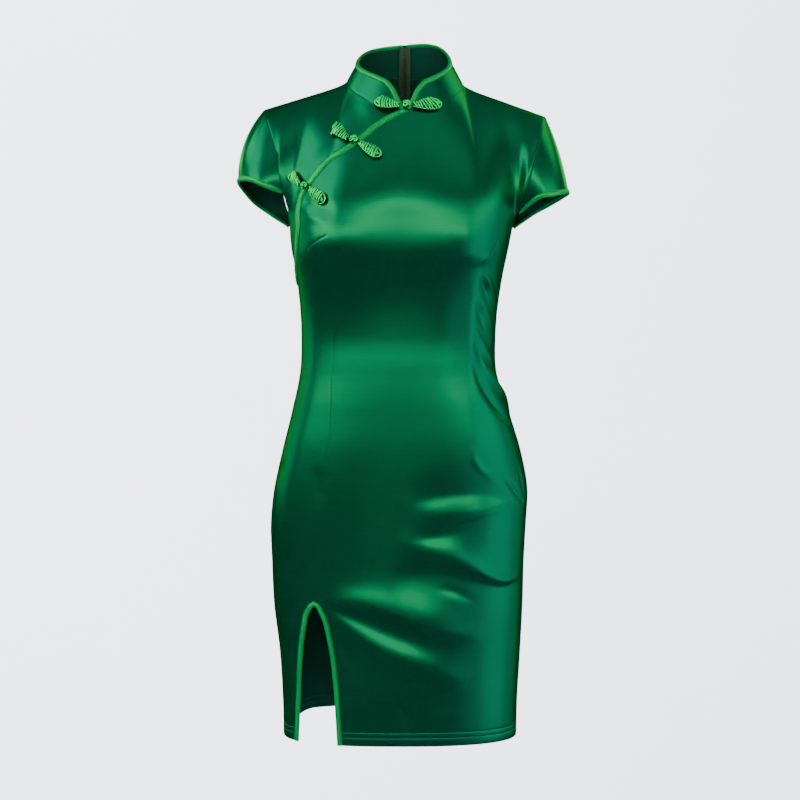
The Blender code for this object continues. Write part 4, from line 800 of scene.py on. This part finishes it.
def filled(outline, step, seams=()):
    """Points and triangles that fill an outline in metres, and how many of the points are its own.

    Its own come first. There is a row just inside it, and rows along its seams and beside them.
    """
    closed = spaced(np.vstack([outline, outline[:1]]), step)
    rim = closed[:-1]

    def kept(points, margin):
        points = points[inside(points, rim)]
        return points[clearance(points, closed) > margin]

    low, high = rim.min(axis=0), rim.max(axis=0)
    across = np.arange(low[0] + step / 2, high[0], step)
    up = np.arange(low[1] + step / 2, high[1], step * ROW_STEP)
    grid = np.stack(np.meshgrid(across, up), axis=-1)
    grid[1::2, :, 0] += step / 2
    grid = kept(grid.reshape(-1, 2), ROLL_WIDTH * FIELD_CLEAR)
    near = closed + leftward(closed, 1.0) * ROLL_WIDTH * EDGE_ROW
    near = kept(near[:-1], ROLL_WIDTH * EDGE_CLEAR)
    rows = [np.empty((0, 2))]
    for seam in seams:
        gap = SEAM_BAND[-1] * 1.4
        grid = grid[close_by(grid, seam, gap) >= gap]
        line = spaced(seam, SEAM_STEP)
        for band in sorted({aside * side for aside in SEAM_BAND for side in (-1, 1)}):
            rows.append(line + leftward(line, 1.0) * band)
    points = np.concatenate([rim, near, grid, kept(np.concatenate(rows), ROLL_WIDTH * FIELD_CLEAR)])
    edges = [(i, (i + 1) % len(rim)) for i in range(len(rim))]
    result = delaunay_2d_cdt([tuple(p) for p in points], edges, [], 1, 1e-7)
    triangles = np.array([f for f in result[2] if len(f) == 3])
    return np.array([tuple(v) for v in result[0]]), triangles, len(rim)


def point_normals(points, triangles):
    """Normals at the points from the triangles around them."""
    a, b, c = (points[triangles[:, i]] for i in range(3))
    total = np.zeros_like(points)
    for i in range(3):
        np.add.at(total, triangles[:, i], np.cross(b - a, c - a))
    return unit(total)


def placed(name, data):
    """A new object of the scene."""
    obj = bpy.data.objects.new(name, data)
    bpy.context.scene.collection.objects.link(obj)
    return obj


def new_object(name, points, faces, materials, cut=None, kinds=None):
    """A smooth mesh. Cut holds the points' places on the flat cloth in metres, kinds the faces' materials."""
    mesh = bpy.data.meshes.new(name)
    mesh.from_pydata(np.asarray(points).tolist(), [], [list(map(int, f)) for f in faces])
    mesh.shade_smooth()
    mesh.set_sharp_from_angle(angle=math.radians(50))
    for material in materials:
        mesh.materials.append(material)
    if kinds is not None:
        mesh.polygons.foreach_set("material_index", np.asarray(kinds, np.int32))
    if cut is not None:
        corners = np.empty(len(mesh.loops), np.int32)
        mesh.loops.foreach_get("vertex_index", corners)
        layer = mesh.uv_layers.new(name="cut")
        layer.data.foreach_set("uv", np.asarray(cut, np.float32)[corners].ravel())
    return placed(name, mesh)


def cloth_wall(name, form, plan, flat, triangles, loop):
    """A thin closed wall of cloth on its form, with its edges rolled under and a reverse of its own."""
    metres = flat * plan
    outer = form(*flat.T)
    normals = point_normals(outer, triangles)
    beside = np.clip(clearance(metres, metres[[*loop, loop[0]]]) / ROLL_WIDTH, 0, 1)
    outer = outer - normals * (ROLL_DEPTH * (1 - beside) ** 2)[:, None]
    points = np.concatenate([outer, outer - normals * SHELL])
    count = len(outer)
    sides = [(b, a, a + count, b + count) for a, b in zip(loop, np.roll(loop, -1))]
    faces = [*triangles, *(triangles[:, ::-1] + count), *sides]
    kinds = np.repeat([0, 1, 0], [len(triangles), len(triangles), len(sides)])
    return new_object(name, points, faces, [SATIN, REVERSE], np.tile(metres, (2, 1)), kinds)


def cut_wall(name, form, outline, plan, step, seams=()):
    """A wall of cloth cut to an outline."""
    metres, triangles, rim = filled(outline * plan, step, [np.array(seam) * plan for seam in seams])
    return cloth_wall(name, form, plan, metres / plan, triangles, range(rim))


def grid_faces(rows, columns, closed=False):
    """Quads of a grid of points, whose rows close on themselves if asked."""
    wide = columns if closed else columns - 1
    starts = np.arange(rows - 1)[:, None] * columns
    a = (starts + np.arange(wide)).ravel()
    b = (starts + np.arange(1, wide + 1) % columns).ravel()
    return stacked(a, b, b + columns, a + columns).tolist()


def tube_faces(count, sides):
    """Faces of a closed body of count sections with the same number of points each, ends capped."""
    caps = [tuple(range(sides))[::-1], tuple(range((count - 1) * sides, count * sides))]
    return grid_faces(count, sides, closed=True) + caps


def tube_rows(path, radius, ups, sides=8, flat=1.0):
    """Round sections along a path; ups are the directions that its flat side faces, radius may vary."""
    path = np.asarray(path, float)
    radius = np.broadcast_to(radius, len(path))
    way = unit(np.gradient(path, axis=0))
    ups = unit(ups - way * (ups * way).sum(-1, keepdims=True))
    beside = np.cross(way, ups)
    turn = np.arange(sides) / sides * 2 * math.pi
    ring = beside[:, None] * np.cos(turn)[:, None] + ups[:, None] * np.sin(turn)[:, None] * flat
    return path[:, None] + ring * radius[:, None, None]


def joined_tubes(name, bodies, material):
    """One object from bodies given as sections. Its map runs along them and down from their tops."""
    faces, cut, start = [], [], 0
    for rows in bodies:
        count, sides = rows.shape[:2]
        faces += [tuple(i + start for i in f) for f in tube_faces(count, sides)]
        middles = rows.mean(axis=1)
        down = np.abs((np.arange(sides) / sides * 2 + 0.5) % 2 - 1) * math.pi
        down = down * np.linalg.norm(rows[0, 0] - middles[0])
        cut.append(stacked(np.repeat(along(middles), sides), np.tile(down, count)))
        start += count * sides
    points = np.concatenate([rows.reshape(-1, 3) for rows in bodies])
    return new_object(name, points, faces, [material], np.concatenate(cut))


# Outlines of the cut pieces


def opening_line(count=160):
    return smooth_path(OPENING_EDGE, count, OPENING_EDGE * BODY_PLAN)


def slit_line():
    return smooth_path(SLIT_EDGE, 110, SLIT_EDGE * BODY_PLAN)


def underlap_edge():
    """The free edge of the cloth under the opening, from the centre front to the side seam."""
    line = opening_line(41)
    width = LAP_START + (LAP - LAP_START) * ease(np.linspace(0, 1, len(line)) / LAP_GROWS)
    edge = line + leftward(line, BODY_PLAN) * width[:, None]
    edge[0] = (0.0, -LAP_START)
    edge[-1, 0] = -1.0
    return edge


def joined(*lines):
    """One closed outline from lines that meet end to end."""
    outline = [np.asarray(lines[0], float)[:1]] + [np.asarray(line, float)[1:] for line in lines]
    return np.concatenate(outline)[:-1]


def front_outline():
    slit = slit_line()
    side = [slit[-1], (1, HEM), (1, ARMPIT), (1, 0), (NECK_SHARE, 0), (0, 0)]
    return joined([(-1, HEM), slit[0]], slit, side, opening_line(), [OPENING_EDGE[-1], (-1, HEM)])


def underlap_outline():
    edge = underlap_edge()
    return joined(edge[::-1], [edge[0], (0, 0), (-NECK_SHARE, 0), (-1, 0), (-1, ARMPIT), edge[-1]])


def back_outline(side):
    """One half of the back, left (1) or right (-1)."""
    top = [(2, 0), (2 - NECK_SHARE, 0), (BACK_START, 0), (BACK_START, ARMPIT)]
    half = np.array([(1, HEM), (2, HEM), *top, (1, ARMPIT)])
    return half if side > 0 else (half * [-1, 1] + [4, 0])[::-1]


def collar_edge(side, notch_points):
    """Top edge of half a collar, from the centre front to the centre back."""
    notch = np.linspace(0, 1, notch_points)[:-1] ** 1.6 * COLLAR_NOTCH
    angle = np.concatenate([notch, np.linspace(COLLAR_NOTCH, math.pi, 60)])
    return stacked(side * angle, collar_height(side * angle))


def collar_outline(side):
    seam = [(0, -SEAM_TUCK), (side * math.pi, -SEAM_TUCK)]
    edge = collar_edge(side, 24)[::-1]
    half = joined(seam, [seam[-1], edge[0]], edge)
    return half[::side]


# What lies on the cloth


def binding(name, form, line, width, plan, limit=math.inf):
    """Bias binding folded over an edge. The cloth lies to the left of the line."""
    left = leftward(line, plan)
    edge = form(*line.T)
    inward = form(*(line + left * BINDING_PROBE).T) - edge
    reach = lengths(inward) / BINDING_PROBE
    window = np.ones(2 * BINDING_EVEN + 1) / (2 * BINDING_EVEN + 1)
    reach = np.convolve(np.pad(reach, BINDING_EVEN, mode="edge"), window, mode="valid")
    up = numeric_normals(form, *line.T)
    inward = unit(inward - up * (inward * up).sum(-1, keepdims=True))
    flat_width = np.minimum(width / reach, limit)
    rows = []
    for share, aside, lift in np.array(BINDING_ROUND) / 1000:
        place = line + left * (flat_width * share)[:, None]
        base = form(*place.T) if share else edge
        rows.append(base + inward * aside + up * lift)
    rows = np.stack(rows, axis=1)
    count, sides = rows.shape[:2]
    run, around = along(rows.mean(axis=1)), along(rows[count // 2])
    cut = stacked(np.repeat(run, sides), np.tile(around, count))
    return new_object(name, rows.reshape(-1, 3), tube_faces(count, sides), [BIAS], cut)


def beside_way(form, flat, ahead, step=1e-3):
    """What to add across and up to go one metre to the left of the way ahead, at each place."""
    across, up = flat.T
    on_across = (form(across + step, up) - form(across - step, up)) / (2 * step)
    on_up = (form(across, up + step) - form(across, up - step)) / (2 * step)
    normal = unit(np.cross(on_across, on_up))
    left = unit(np.cross(normal, on_across * ahead[0] + on_up * ahead[1]))
    both = stacked(on_across, on_up)
    return np.stack([np.linalg.pinv(m) @ v for m, v in zip(both, left)])


def cord_on(form, start, ahead, path, heights):
    """A path drawn in metres, along from a start towards a place ahead and to the left, put on the cloth."""
    way = np.subtract(ahead, start)
    length = np.linalg.norm(form(*ahead) - form(*start))
    flat = start + way * (path[:, :1] / length)
    flat = flat + beside_way(form, flat, way) * path[:, 1:2]
    ups = numeric_normals(form, *flat.T, 0.012)
    return form(*flat.T) + ups * np.asarray(heights)[:, None], ups


def bud(name, form, start, tip, width, lift):
    """Half of a frog closure: a padded drop in a loop of cord, wound with cord aslant down to its tip."""
    length = float(np.linalg.norm(form(*tip) - form(*start)))
    shape = curves_of(BUD_SHAPE, ("along", "half"))["half"]
    bodies = []

    def laid(path, radius, rise, sides=8, flat=1.0):
        share = np.clip(path[:, 0] / length, 0, 1)
        heights = lift[0] + (lift[1] - lift[0]) * share**2 + rise
        points, ups = cord_on(form, start, tip, path, heights)
        bodies.append(tube_rows(points, radius, ups, sides, flat))

    def loop(inset, reach, radius, rise):
        share = np.linspace(0, 1, 26) ** 1.7 * reach
        half = np.maximum(shape(share) * width / 2 - inset, 0.25 * radius)
        half[0] = 0.0
        side = stacked(inset + share * (length - inset), half)
        laid(smooth_path([*side[::-1], *(side[1:] * [1, -1])], 72), radius, rise)

    core = np.linspace(*PAD_ENDS, 14)
    pad = np.maximum(shape(core) * width / 2 - CORD_RADIUS * 0.5, 0.0010)
    laid(stacked(core * length, 0 * core), pad, PAD_LIFT, 12, PAD_FLAT)
    loop(CORD_RADIUS, 1.0, CORD_RADIUS * 1.08, CORD_RADIUS)
    loop(CORD_RADIUS * 3.0, INNER_LOOP, CORD_RADIUS, CORD_RADIUS + INNER_LIFT)
    cross = np.linspace(-1, 1, 11)
    for turn, place in enumerate(np.linspace(*WINDING_ENDS, WINDINGS)):
        half = max(shape(place) * width / 2 - CORD_RADIUS * 0.35, CORD_RADIUS * 0.45)
        slant = WINDING_SLANT * length * (1 + 0.3 * math.sin(2.1 * turn))
        bend = WINDING_BEND * length * math.sin(1.7 * turn)
        path = stacked(place * length + slant * cross + bend * (1 - cross**2), -half * cross)
        arch = (WINDING_LIFT + WINDING_ARCH * half) * np.sqrt(np.clip(1 - 0.92 * cross**2, 0, 1))
        laid(path, CORD_RADIUS * (1.0 - WINDING_TAPER * place), CORD_RADIUS * 1.25 + arch)
    return joined_tubes(name, bodies, CORD)


def knot(name, form, place, width):
    """The knot button: a cord woven over and under itself into a ball."""
    turn = np.linspace(0, 2 * math.pi, 121)[:-1]
    reach = width / 2 - CORD_RADIUS
    radius = reach * (1 - KNOT_SWING + KNOT_SWING * np.cos(3 * turn))
    path = stacked(radius * np.cos(2 * turn), radius * np.sin(2 * turn))
    dome = KNOT_DOME * (1 - (lengths(path) / reach) ** 2)
    heights = KNOT_LIFT + CORD_RADIUS + dome + KNOT_WEAVE_LIFT + KNOT_WEAVE * np.sin(3 * turn)
    ahead = (place[0] + 0.01, place[1])
    points, ups = cord_on(form, place, ahead, path, heights)
    cord = tube_rows(points[[*range(120), 0]], CORD_RADIUS * 0.95, ups[[*range(120), 0]])
    core = np.linspace(-1, 1, 9)
    heights = KNOT_LIFT + KNOT_DOME + KNOT_CORE_HEIGHT * core
    middle, _ = cord_on(form, place, ahead, np.zeros((9, 2)), heights)
    ball = reach * KNOT_CORE * np.sqrt(np.clip(1.02 - core**2, 0.02, 1))
    ball = tube_rows(middle, ball, unit(np.array([[1.0, 0.2, 0.1]])), 10)
    return joined_tubes(name, [cord, ball], CORD)


def hem_stitches(name, first, last, rise):
    """A row of short stitches along the hem, rise above its edge."""
    line = np.linspace((first, HEM + rise), (last, HEM + rise), int((last - first) * 80))
    run = along(body(*line.T))
    starts = np.arange(0, run[-1] - STITCH, STITCH + STITCH_GAP)
    share, lift = np.array(STITCH_ARC).T
    at = (starts[:, None] + share * STITCH).ravel()
    across = np.interp(at, run, line[:, 0])
    up = np.full(len(at), HEM + rise)
    ups = numeric_normals(body, across, up)
    points = body(across, up) + ups * np.tile(lift, len(starts))[:, None]
    bodies = [tube_rows(points[i : i + 4], THREAD_RADIUS, ups[i : i + 4], 5) for i in range(0, len(at), 4)]
    return joined_tubes(name, bodies, THREAD)


# The zip


def collar_back_frame():
    """Turns points given across, out from the collar and up, into place at the zip's top."""
    seam = collar(math.pi, 0.0)
    upward = unit(collar(math.pi, SLIDER_TOP) - seam)
    across = np.array([1.0, 0.0, 0.0])
    turned = np.stack([across, unit(np.cross(upward, across)), upward])
    return lambda points: seam + upward * SLIDER_TOP + np.asarray(points, float) @ turned


def plate_rows(ups, halves, middle, thick):
    """Sections of a flat plate with worn edges: up, half width, and its middle out from the collar."""
    half = [(1, -0.4), (0.86, -1), (-0.86, -1), (-1, -0.4)]
    corners = half + [(-x, -y) for x, y in half]
    return np.array(
        [[(x * wide, middle + y * thick / 2, up) for x, y in corners] for up, wide in zip(ups, halves)]
    )


def zip_slider(name, place):
    """The slider's shield plate and the staple its tab hangs from."""
    down, half = np.array(SLIDER_SHAPE).T
    foot = SEAM_GAP + SLIDER_PLATE / 2
    plate = plate_rows(-SLIDER_LENGTH * down, SLIDER_WIDTH / 2 * half, foot, SLIDER_PLATE)
    top = SEAM_GAP + SLIDER_PLATE + BAR_HEIGHT + BAR / 2
    reach = SLIDER_WIDTH / 2 - LUG / 2
    half = [(reach, foot), (reach, top - BAR_CORNER), (reach - BAR_CORNER + 0.0002, top)]
    staple = smooth_path([(-x, y) for x, y in half] + half[::-1], 26)
    path = np.column_stack([staple, np.full(len(staple), -BAR / 2)])
    bar = tube_rows(path, BAR / 2, np.array([[0.0, 0.0, 1.0]]), 10)
    return joined_tubes(name, [place(plate), place(bar)], METAL)


def zip_pull(name, place):
    """The pull tab: an eye round the slider's bar and a blade with a rounded end."""
    middle = SEAM_GAP + SLIDER_PLATE + BAR_HEIGHT + BAR / 2
    eye = np.linspace(0, 2 * math.pi, 25)
    rim = [[(x, middle + r * math.sin(t), -BAR / 2 - r * math.cos(t)) for x, r in TAB_EYE] for t in eye]
    down, half = np.array(TAB_SHAPE).T
    top = EYE_RADIUS * 0.9
    ups = -BAR / 2 - top - down * (TAB_LENGTH - top)
    blade = plate_rows(ups, TAB_WIDTH / 2 * half, middle, TAB_PLATE)
    return joined_tubes(name, [place(np.array(rim)), place(blade)], METAL)


def zip_coil(name):
    """The concealed zip's coil, along the inside of the centre back below its slider."""
    spines, normals = [], []
    high = np.linspace(SLIDER_TOP - SLIDER_LENGTH, COIL_ABOVE, 10)
    low = np.linspace(COIL_BELOW, ZIP_END + COIL_END, 70)
    for form, across, ups, margin in ((collar, math.pi, high, -math.inf), (body, 2.0, low, TOP_MARGIN)):
        spines.append(form(across, ups))
        normals.append(numeric_normals(form, np.full(len(ups), across), np.minimum(ups, -margin)))
    normals = np.concatenate(normals)
    spine = np.concatenate(spines) - normals * (CLOTH + ZIP_TAPE_GAP + ZIP_TAPE + COIL_DEPTH + COIL_CLEAR)
    run = along(spine)
    at = np.linspace(0, run[-1], int(run[-1] / COIL_PITCH) * 8 + 1)
    middle, up = (stacked(*[np.interp(at, run, v) for v in values.T]) for values in (spine, normals))
    up = unit(up)
    phase = np.arange(len(at))[:, None] / 8 * 2 * math.pi
    path = middle + np.sin(phase) * COIL_WIDTH * [1.0, 0.0, 0.0] + np.cos(phase) * COIL_DEPTH * up
    return joined_tubes(name, [tube_rows(path, COIL_RADIUS, up, 5)], TAPE)


# Materials: each look gives the inputs of a Principled shader, some as the outputs of nodes


def set_inputs(node, values):
    """Sets the inputs of a node, or links those that are given the output of another."""
    for name, value in values.items():
        if isinstance(value, bpy.types.NodeSocket):
            node.id_data.links.new(value, node.inputs[name])
        else:
            node.inputs[name].default_value = value


def new_material(name, look, *details):
    material = bpy.data.materials.new(name)
    material.use_nodes = True
    set_inputs(material.node_tree.nodes["Principled BSDF"], look(material.node_tree, *details))
    return material


def add_node(tree, kind, values, output=0, **settings):
    """An output of a new shader node with the given inputs and settings."""
    node = tree.nodes.new("ShaderNode" + kind)
    for name, value in settings.items():
        setattr(node, name, value)
    set_inputs(node, values)
    return node.outputs[output]


def cloth_noise(tree, stretch, scale, detail=3.0, roughness=0.5):
    """A noise over the flat cloth, with its own scale for each way across it."""
    place = add_node(tree, "UVMap", {}, uv_map="cut")
    place = add_node(tree, "Mapping", {"Vector": place, "Scale": (*stretch, 1.0)})
    values = {"Vector": place, "Scale": scale, "Detail": detail, "Roughness": roughness}
    return add_node(tree, "TexNoise", values)


def solid_noise(tree, scale):
    """A noise through the object's own space."""
    return add_node(tree, "TexNoise", {"Vector": add_node(tree, "TexCoord", {}, "Object"), "Scale": scale})


def ramp_of(tree, value, *stops):
    """Colours over a value, from (place, colour) stops."""
    output = add_node(tree, "ValToRGB", {0: value})
    elements = output.node.color_ramp.elements
    while len(elements) < len(stops):
        elements.new(0.5)
    for element, (place, colour) in zip(elements, stops):
        element.position = place
        element.color = (*colour, 1.0)
    return output


def spread_of(tree, value, low, high, taken=(0.0, 1.0)):
    """A value between 0 and 1, or between the two taken, spread between two numbers."""
    ends = dict(zip(("From Min", "From Max", "To Min", "To Max"), (*taken, low, high)))
    return add_node(tree, "MapRange", {"Value": value, **ends})


def bumps(tree, *layers):
    """The normal after bump layers, each a height, its strength and its distance in metres."""
    before = {}
    for height, strength, distance in layers:
        values = {"Height": height, "Strength": strength, "Distance": distance}
        before = {"Normal": add_node(tree, "Bump", {**values, **before})}
    return before["Normal"]


def satin(tree, dark, light, roughness, shine, shade=None):
    """Woven satin: its floats shine in the cloth's own colour, as its metallic share.

    Shade is how far down its sides a cord is at its own colour, and where its painted shade, the shadow
    between the windings, is darkest.
    """
    cloud = cloth_noise(tree, (1.0, 1.0), CLOUDS)
    streak = cloth_noise(tree, STREAKS, 1.0, 4.0, 0.65)
    weave = cloth_noise(tree, WEAVE, 1.0, 2.0)
    halves = {i: spread_of(tree, noise, 0.0, 0.5) for i, noise in enumerate((cloud, streak))}
    value = add_node(tree, "Math", halves, operation="ADD")
    stops = [(0.30, dark), (0.70, light)]
    # Painted shade: the colour darkens down a cord's sides, away from its top, standing for the shadow
    # between the windings
    if shade:
        down = add_node(tree, "SeparateXYZ", {0: add_node(tree, "UVMap", {}, uv_map="cut")}, "Y")
        under = spread_of(tree, down, 0.0, 0.8, shade)
        value = add_node(tree, "Math", {0: value, 1: under}, operation="SUBTRACT")
        stops.insert(0, (0.0, CORD_PAINTED_SHADE))
    return {
        "Base Color": ramp_of(tree, value, *stops),
        "Roughness": spread_of(tree, cloud, roughness - 0.006, roughness + 0.024),
        "Metallic": shine,
        "Specular Tint": (*SATIN_EDGE, 1.0),
        "Normal": bumps(tree, (streak, 0.018, 0.0006), (weave, 0.08, 0.0001)),
    }


def lacquer(tree):
    noise = solid_noise(tree, 400.0)
    return {
        "Base Color": ramp_of(tree, noise, (0.35, (0.003, 0.060, 0.030)), (0.65, (0.006, 0.105, 0.052))),
        "Roughness": spread_of(tree, noise, 0.28, 0.40),
        "Metallic": 0.2,
        "Specular IOR Level": 0.6,
    }


def tape(tree):
    values = {"Vector": add_node(tree, "TexCoord", {}, "Object"), "Scale": 900.0, "Distortion": 1.0}
    weave = add_node(tree, "TexWave", values, bands_direction="DIAGONAL")
    return {
        "Base Color": ramp_of(tree, weave, (0.2, (0.010, 0.030, 0.014)), (0.8, (0.030, 0.062, 0.028))),
        "Roughness": 0.85,
        "Specular IOR Level": 0.25,
        "Normal": bumps(tree, (weave, 0.3, 0.0002)),
    }


def paper(tree):
    lighter = [min(1.0, c * 1.02) for c in STUDIO_COLOUR]
    shade = ramp_of(tree, solid_noise(tree, 0.6), (0.3, STUDIO_COLOUR), (0.7, lighter))
    return {"Base Color": shade, "Roughness": 0.95, "Specular IOR Level": 0.1}


SATIN = new_material("emerald_satin_face", satin, (0.003, 0.20, 0.084), (0.004, 0.24, 0.100), 0.285, 0.955)
REVERSE = new_material("emerald_satin_reverse", satin, (0.003, 0.03, 0.019), (0.0045, 0.045, 0.028), 0.6, 0.3)
BIAS = new_material("bias_satin", satin, (0.001, 0.32, 0.070), (0.002, 0.40, 0.090), 0.36, 0.65)
# The cord's last pair of numbers sets where its painted shade starts down its sides and where that shade is
# darkest
CORD = new_material(
    "cord_satin", satin, (0.004, 0.80, 0.150), (0.010, 0.95, 0.200), 0.287, 0.75, (0.0009, 0.0019)
)
THREAD = new_material("sewing_thread", satin, (0.004, 0.26, 0.120), (0.006, 0.34, 0.160), 0.5, 0.2)
TAPE = new_material("zip_tape", tape)
METAL = new_material("lacquered_metal", lacquer)

# Build
SIDES = ((1, "left"), (-1, "right"))
CLOTHS = {"neck": neck, "body": body, "underlap": underlap}
made = {}


def sleeve_wall(name, side):
    """A cap sleeve, as a grid from its hem up to the armhole seam."""
    places = np.linspace(*SLEEVE_SPAN[side], 150)
    if side < 0:
        places = 2 - places[::-1]
    ups = np.concatenate([np.linspace(0, 0.97, 34), [0.985, 1.0]])
    flat = np.stack(np.meshgrid(places, ups), axis=-1).reshape(-1, 2)
    quads = np.array(grid_faces(len(ups), len(places)))
    triangles = np.concatenate([quads[:, [0, 1, 2]], quads[:, [0, 2, 3]]])
    number = np.arange(len(flat)).reshape(len(ups), len(places))
    loop = [*number[0], *number[1:, -1], *number[-1, -2::-1], *number[-2:0:-1, 0]]
    return cloth_wall(name, sleeve(side), SLEEVE_PLAN, flat, triangles, loop)


def sleeve_binding(name, side):
    hem = np.linspace(*sorted(place if side > 0 else 2 - place for place in SLEEVE_SPAN[side]), 2)
    line = np.linspace((hem[0] + 0.01, 0.0), (hem[1] - 0.01, 0.0), 90)
    return binding(name, sleeve(side), line, SLEEVE_BINDING_WIDTH, SLEEVE_PLAN, 0.8)


made["front_main"] = cut_wall("cloth_front", body, front_outline(), BODY_PLAN, CLOTH_STEP, FRONT_SEAMS)
made["front_underlap"] = cut_wall("cloth_underlap", underlap, underlap_outline(), BODY_PLAN, CLOTH_STEP)
for (side, word), seams in zip(SIDES, (LEFT_SEAMS, RIGHT_SEAMS)):
    outline = back_outline(side)
    made["back_" + word] = cut_wall("cloth_back_" + word, body, outline, BODY_PLAN, CLOTH_STEP, seams)
for side, word in SIDES:
    outline = collar_outline(side)
    made["collar_" + word] = cut_wall("cloth_collar_" + word, collar, outline, COLLAR_PLAN, COLLAR_STEP)
for side, word in SIDES:
    made["sleeve_" + word] = sleeve_wall("cloth_sleeve_" + word, side)
    made["binding_sleeve_" + word] = sleeve_binding("bias_sleeve_" + word, side)
    edge = collar_edge(side, 30)[2:-1][::-side]
    name = "bias_collar_" + word
    made["binding_collar_" + word] = binding(name, collar, edge, COLLAR_BINDING_WIDTH, COLLAR_PLAN)
made["binding_opening"] = binding("bias_opening", body, opening_line()[2:-2], BINDING_WIDTH, BODY_PLAN)
made["binding_slit"] = binding("bias_slit", body, slit_line(), SLIT_BINDING_WIDTH, BODY_PLAN)
for node, cloth, start, tip, width, lift in BUDS:
    made[node] = bud(node + "_cord", CLOTHS[cloth], start, tip, width, lift)
for node, cloth, place, width in KNOTS:
    made[node] = knot(node + "_cord", CLOTHS[cloth], place, width)
for node, piece in made.items():
    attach(piece, "dress")
    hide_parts(node)

for node in ("zip_tape_left", "zip_tape_right"):
    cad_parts[node].data.materials[0] = TAPE
place = collar_back_frame()
slider = zip_slider("slider_shield", place)
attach(slider, "dress")
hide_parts("zip_slider")
tab = zip_pull("slider_tab", place)
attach(tab, "pull_tab")
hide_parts("zip_pull_tab")
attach(zip_coil("zip_coil"), "dress")

for row, rise in enumerate(HEM_STITCHES):
    for word, first, last in (("front_right", -1.0, -0.615), ("front_left", -0.31, 1.0), ("back", 1.0, 3.0)):
        piece = hem_stitches(f"hem_stitches_{word}_{row}", first, last, rise)
        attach(piece, "dress")

# Stage, light and camera


def studio():
    """A round room with a pale floor that runs up into its wall."""
    turn = np.linspace(0, 2 * math.pi, 97)[:-1]
    curve = np.linspace(0, math.pi / 2, 13)
    profile = [(0.001, 0.0), (ROOM_FLAT / 2, 0.0)]
    profile += [(ROOM_FLAT + ROOM_CURVE * math.sin(a), ROOM_CURVE * (1 - math.cos(a))) for a in curve]
    profile += [(ROOM_FLAT + ROOM_CURVE, height) for height in ROOM_WALL]
    points = [(r * math.cos(t), r * math.sin(t), z + FLOOR) for r, z in profile for t in turn]
    faces = grid_faces(len(profile), len(turn), closed=True)
    return new_object("studio_floor", points, faces, [new_material("studio_paper", paper)])


room = studio()
room.visible_glossy = False


def softbox(name, place, aim, size, power, colour, in_gloss):
    light = bpy.data.lights.new(name, "AREA")
    light.shape = "RECTANGLE"
    light.size, light.size_y = size
    light.energy = power
    light.color = colour
    lamp = placed(name, light)
    lamp.location = place
    lamp.visible_camera = False
    lamp.visible_glossy = in_gloss
    lamp.rotation_mode = "QUATERNION"
    lamp.rotation_quaternion = (Vector(aim) - Vector(place)).to_track_quat("-Z", "Y")


for name, place, aim_height, size, power, colour in LIGHTS:
    softbox(name, place, (0.0, 0.0, aim_height), size, power, colour, True)
for name, place, aim, size, power in PAPER_LIGHTS:
    softbox(name, place, aim, size, power, PAPER_WHITE, False)
world = bpy.data.worlds.new("studio_air")
world.use_nodes = True
set_inputs(world.node_tree.nodes["Background"], {"Color": (*AIR, 1.0), "Strength": AIR_STRENGTH})
bpy.context.scene.world = world

camera_data = bpy.data.cameras.new("camera")
camera_data.lens = CAMERA_LENS
camera_data.sensor_width = 36.0
camera = placed("camera", camera_data)
camera.location = CAMERA_PLACE
camera.rotation_euler = (math.pi / 2, 0.0, 0.0)
bpy.context.scene.camera = camera
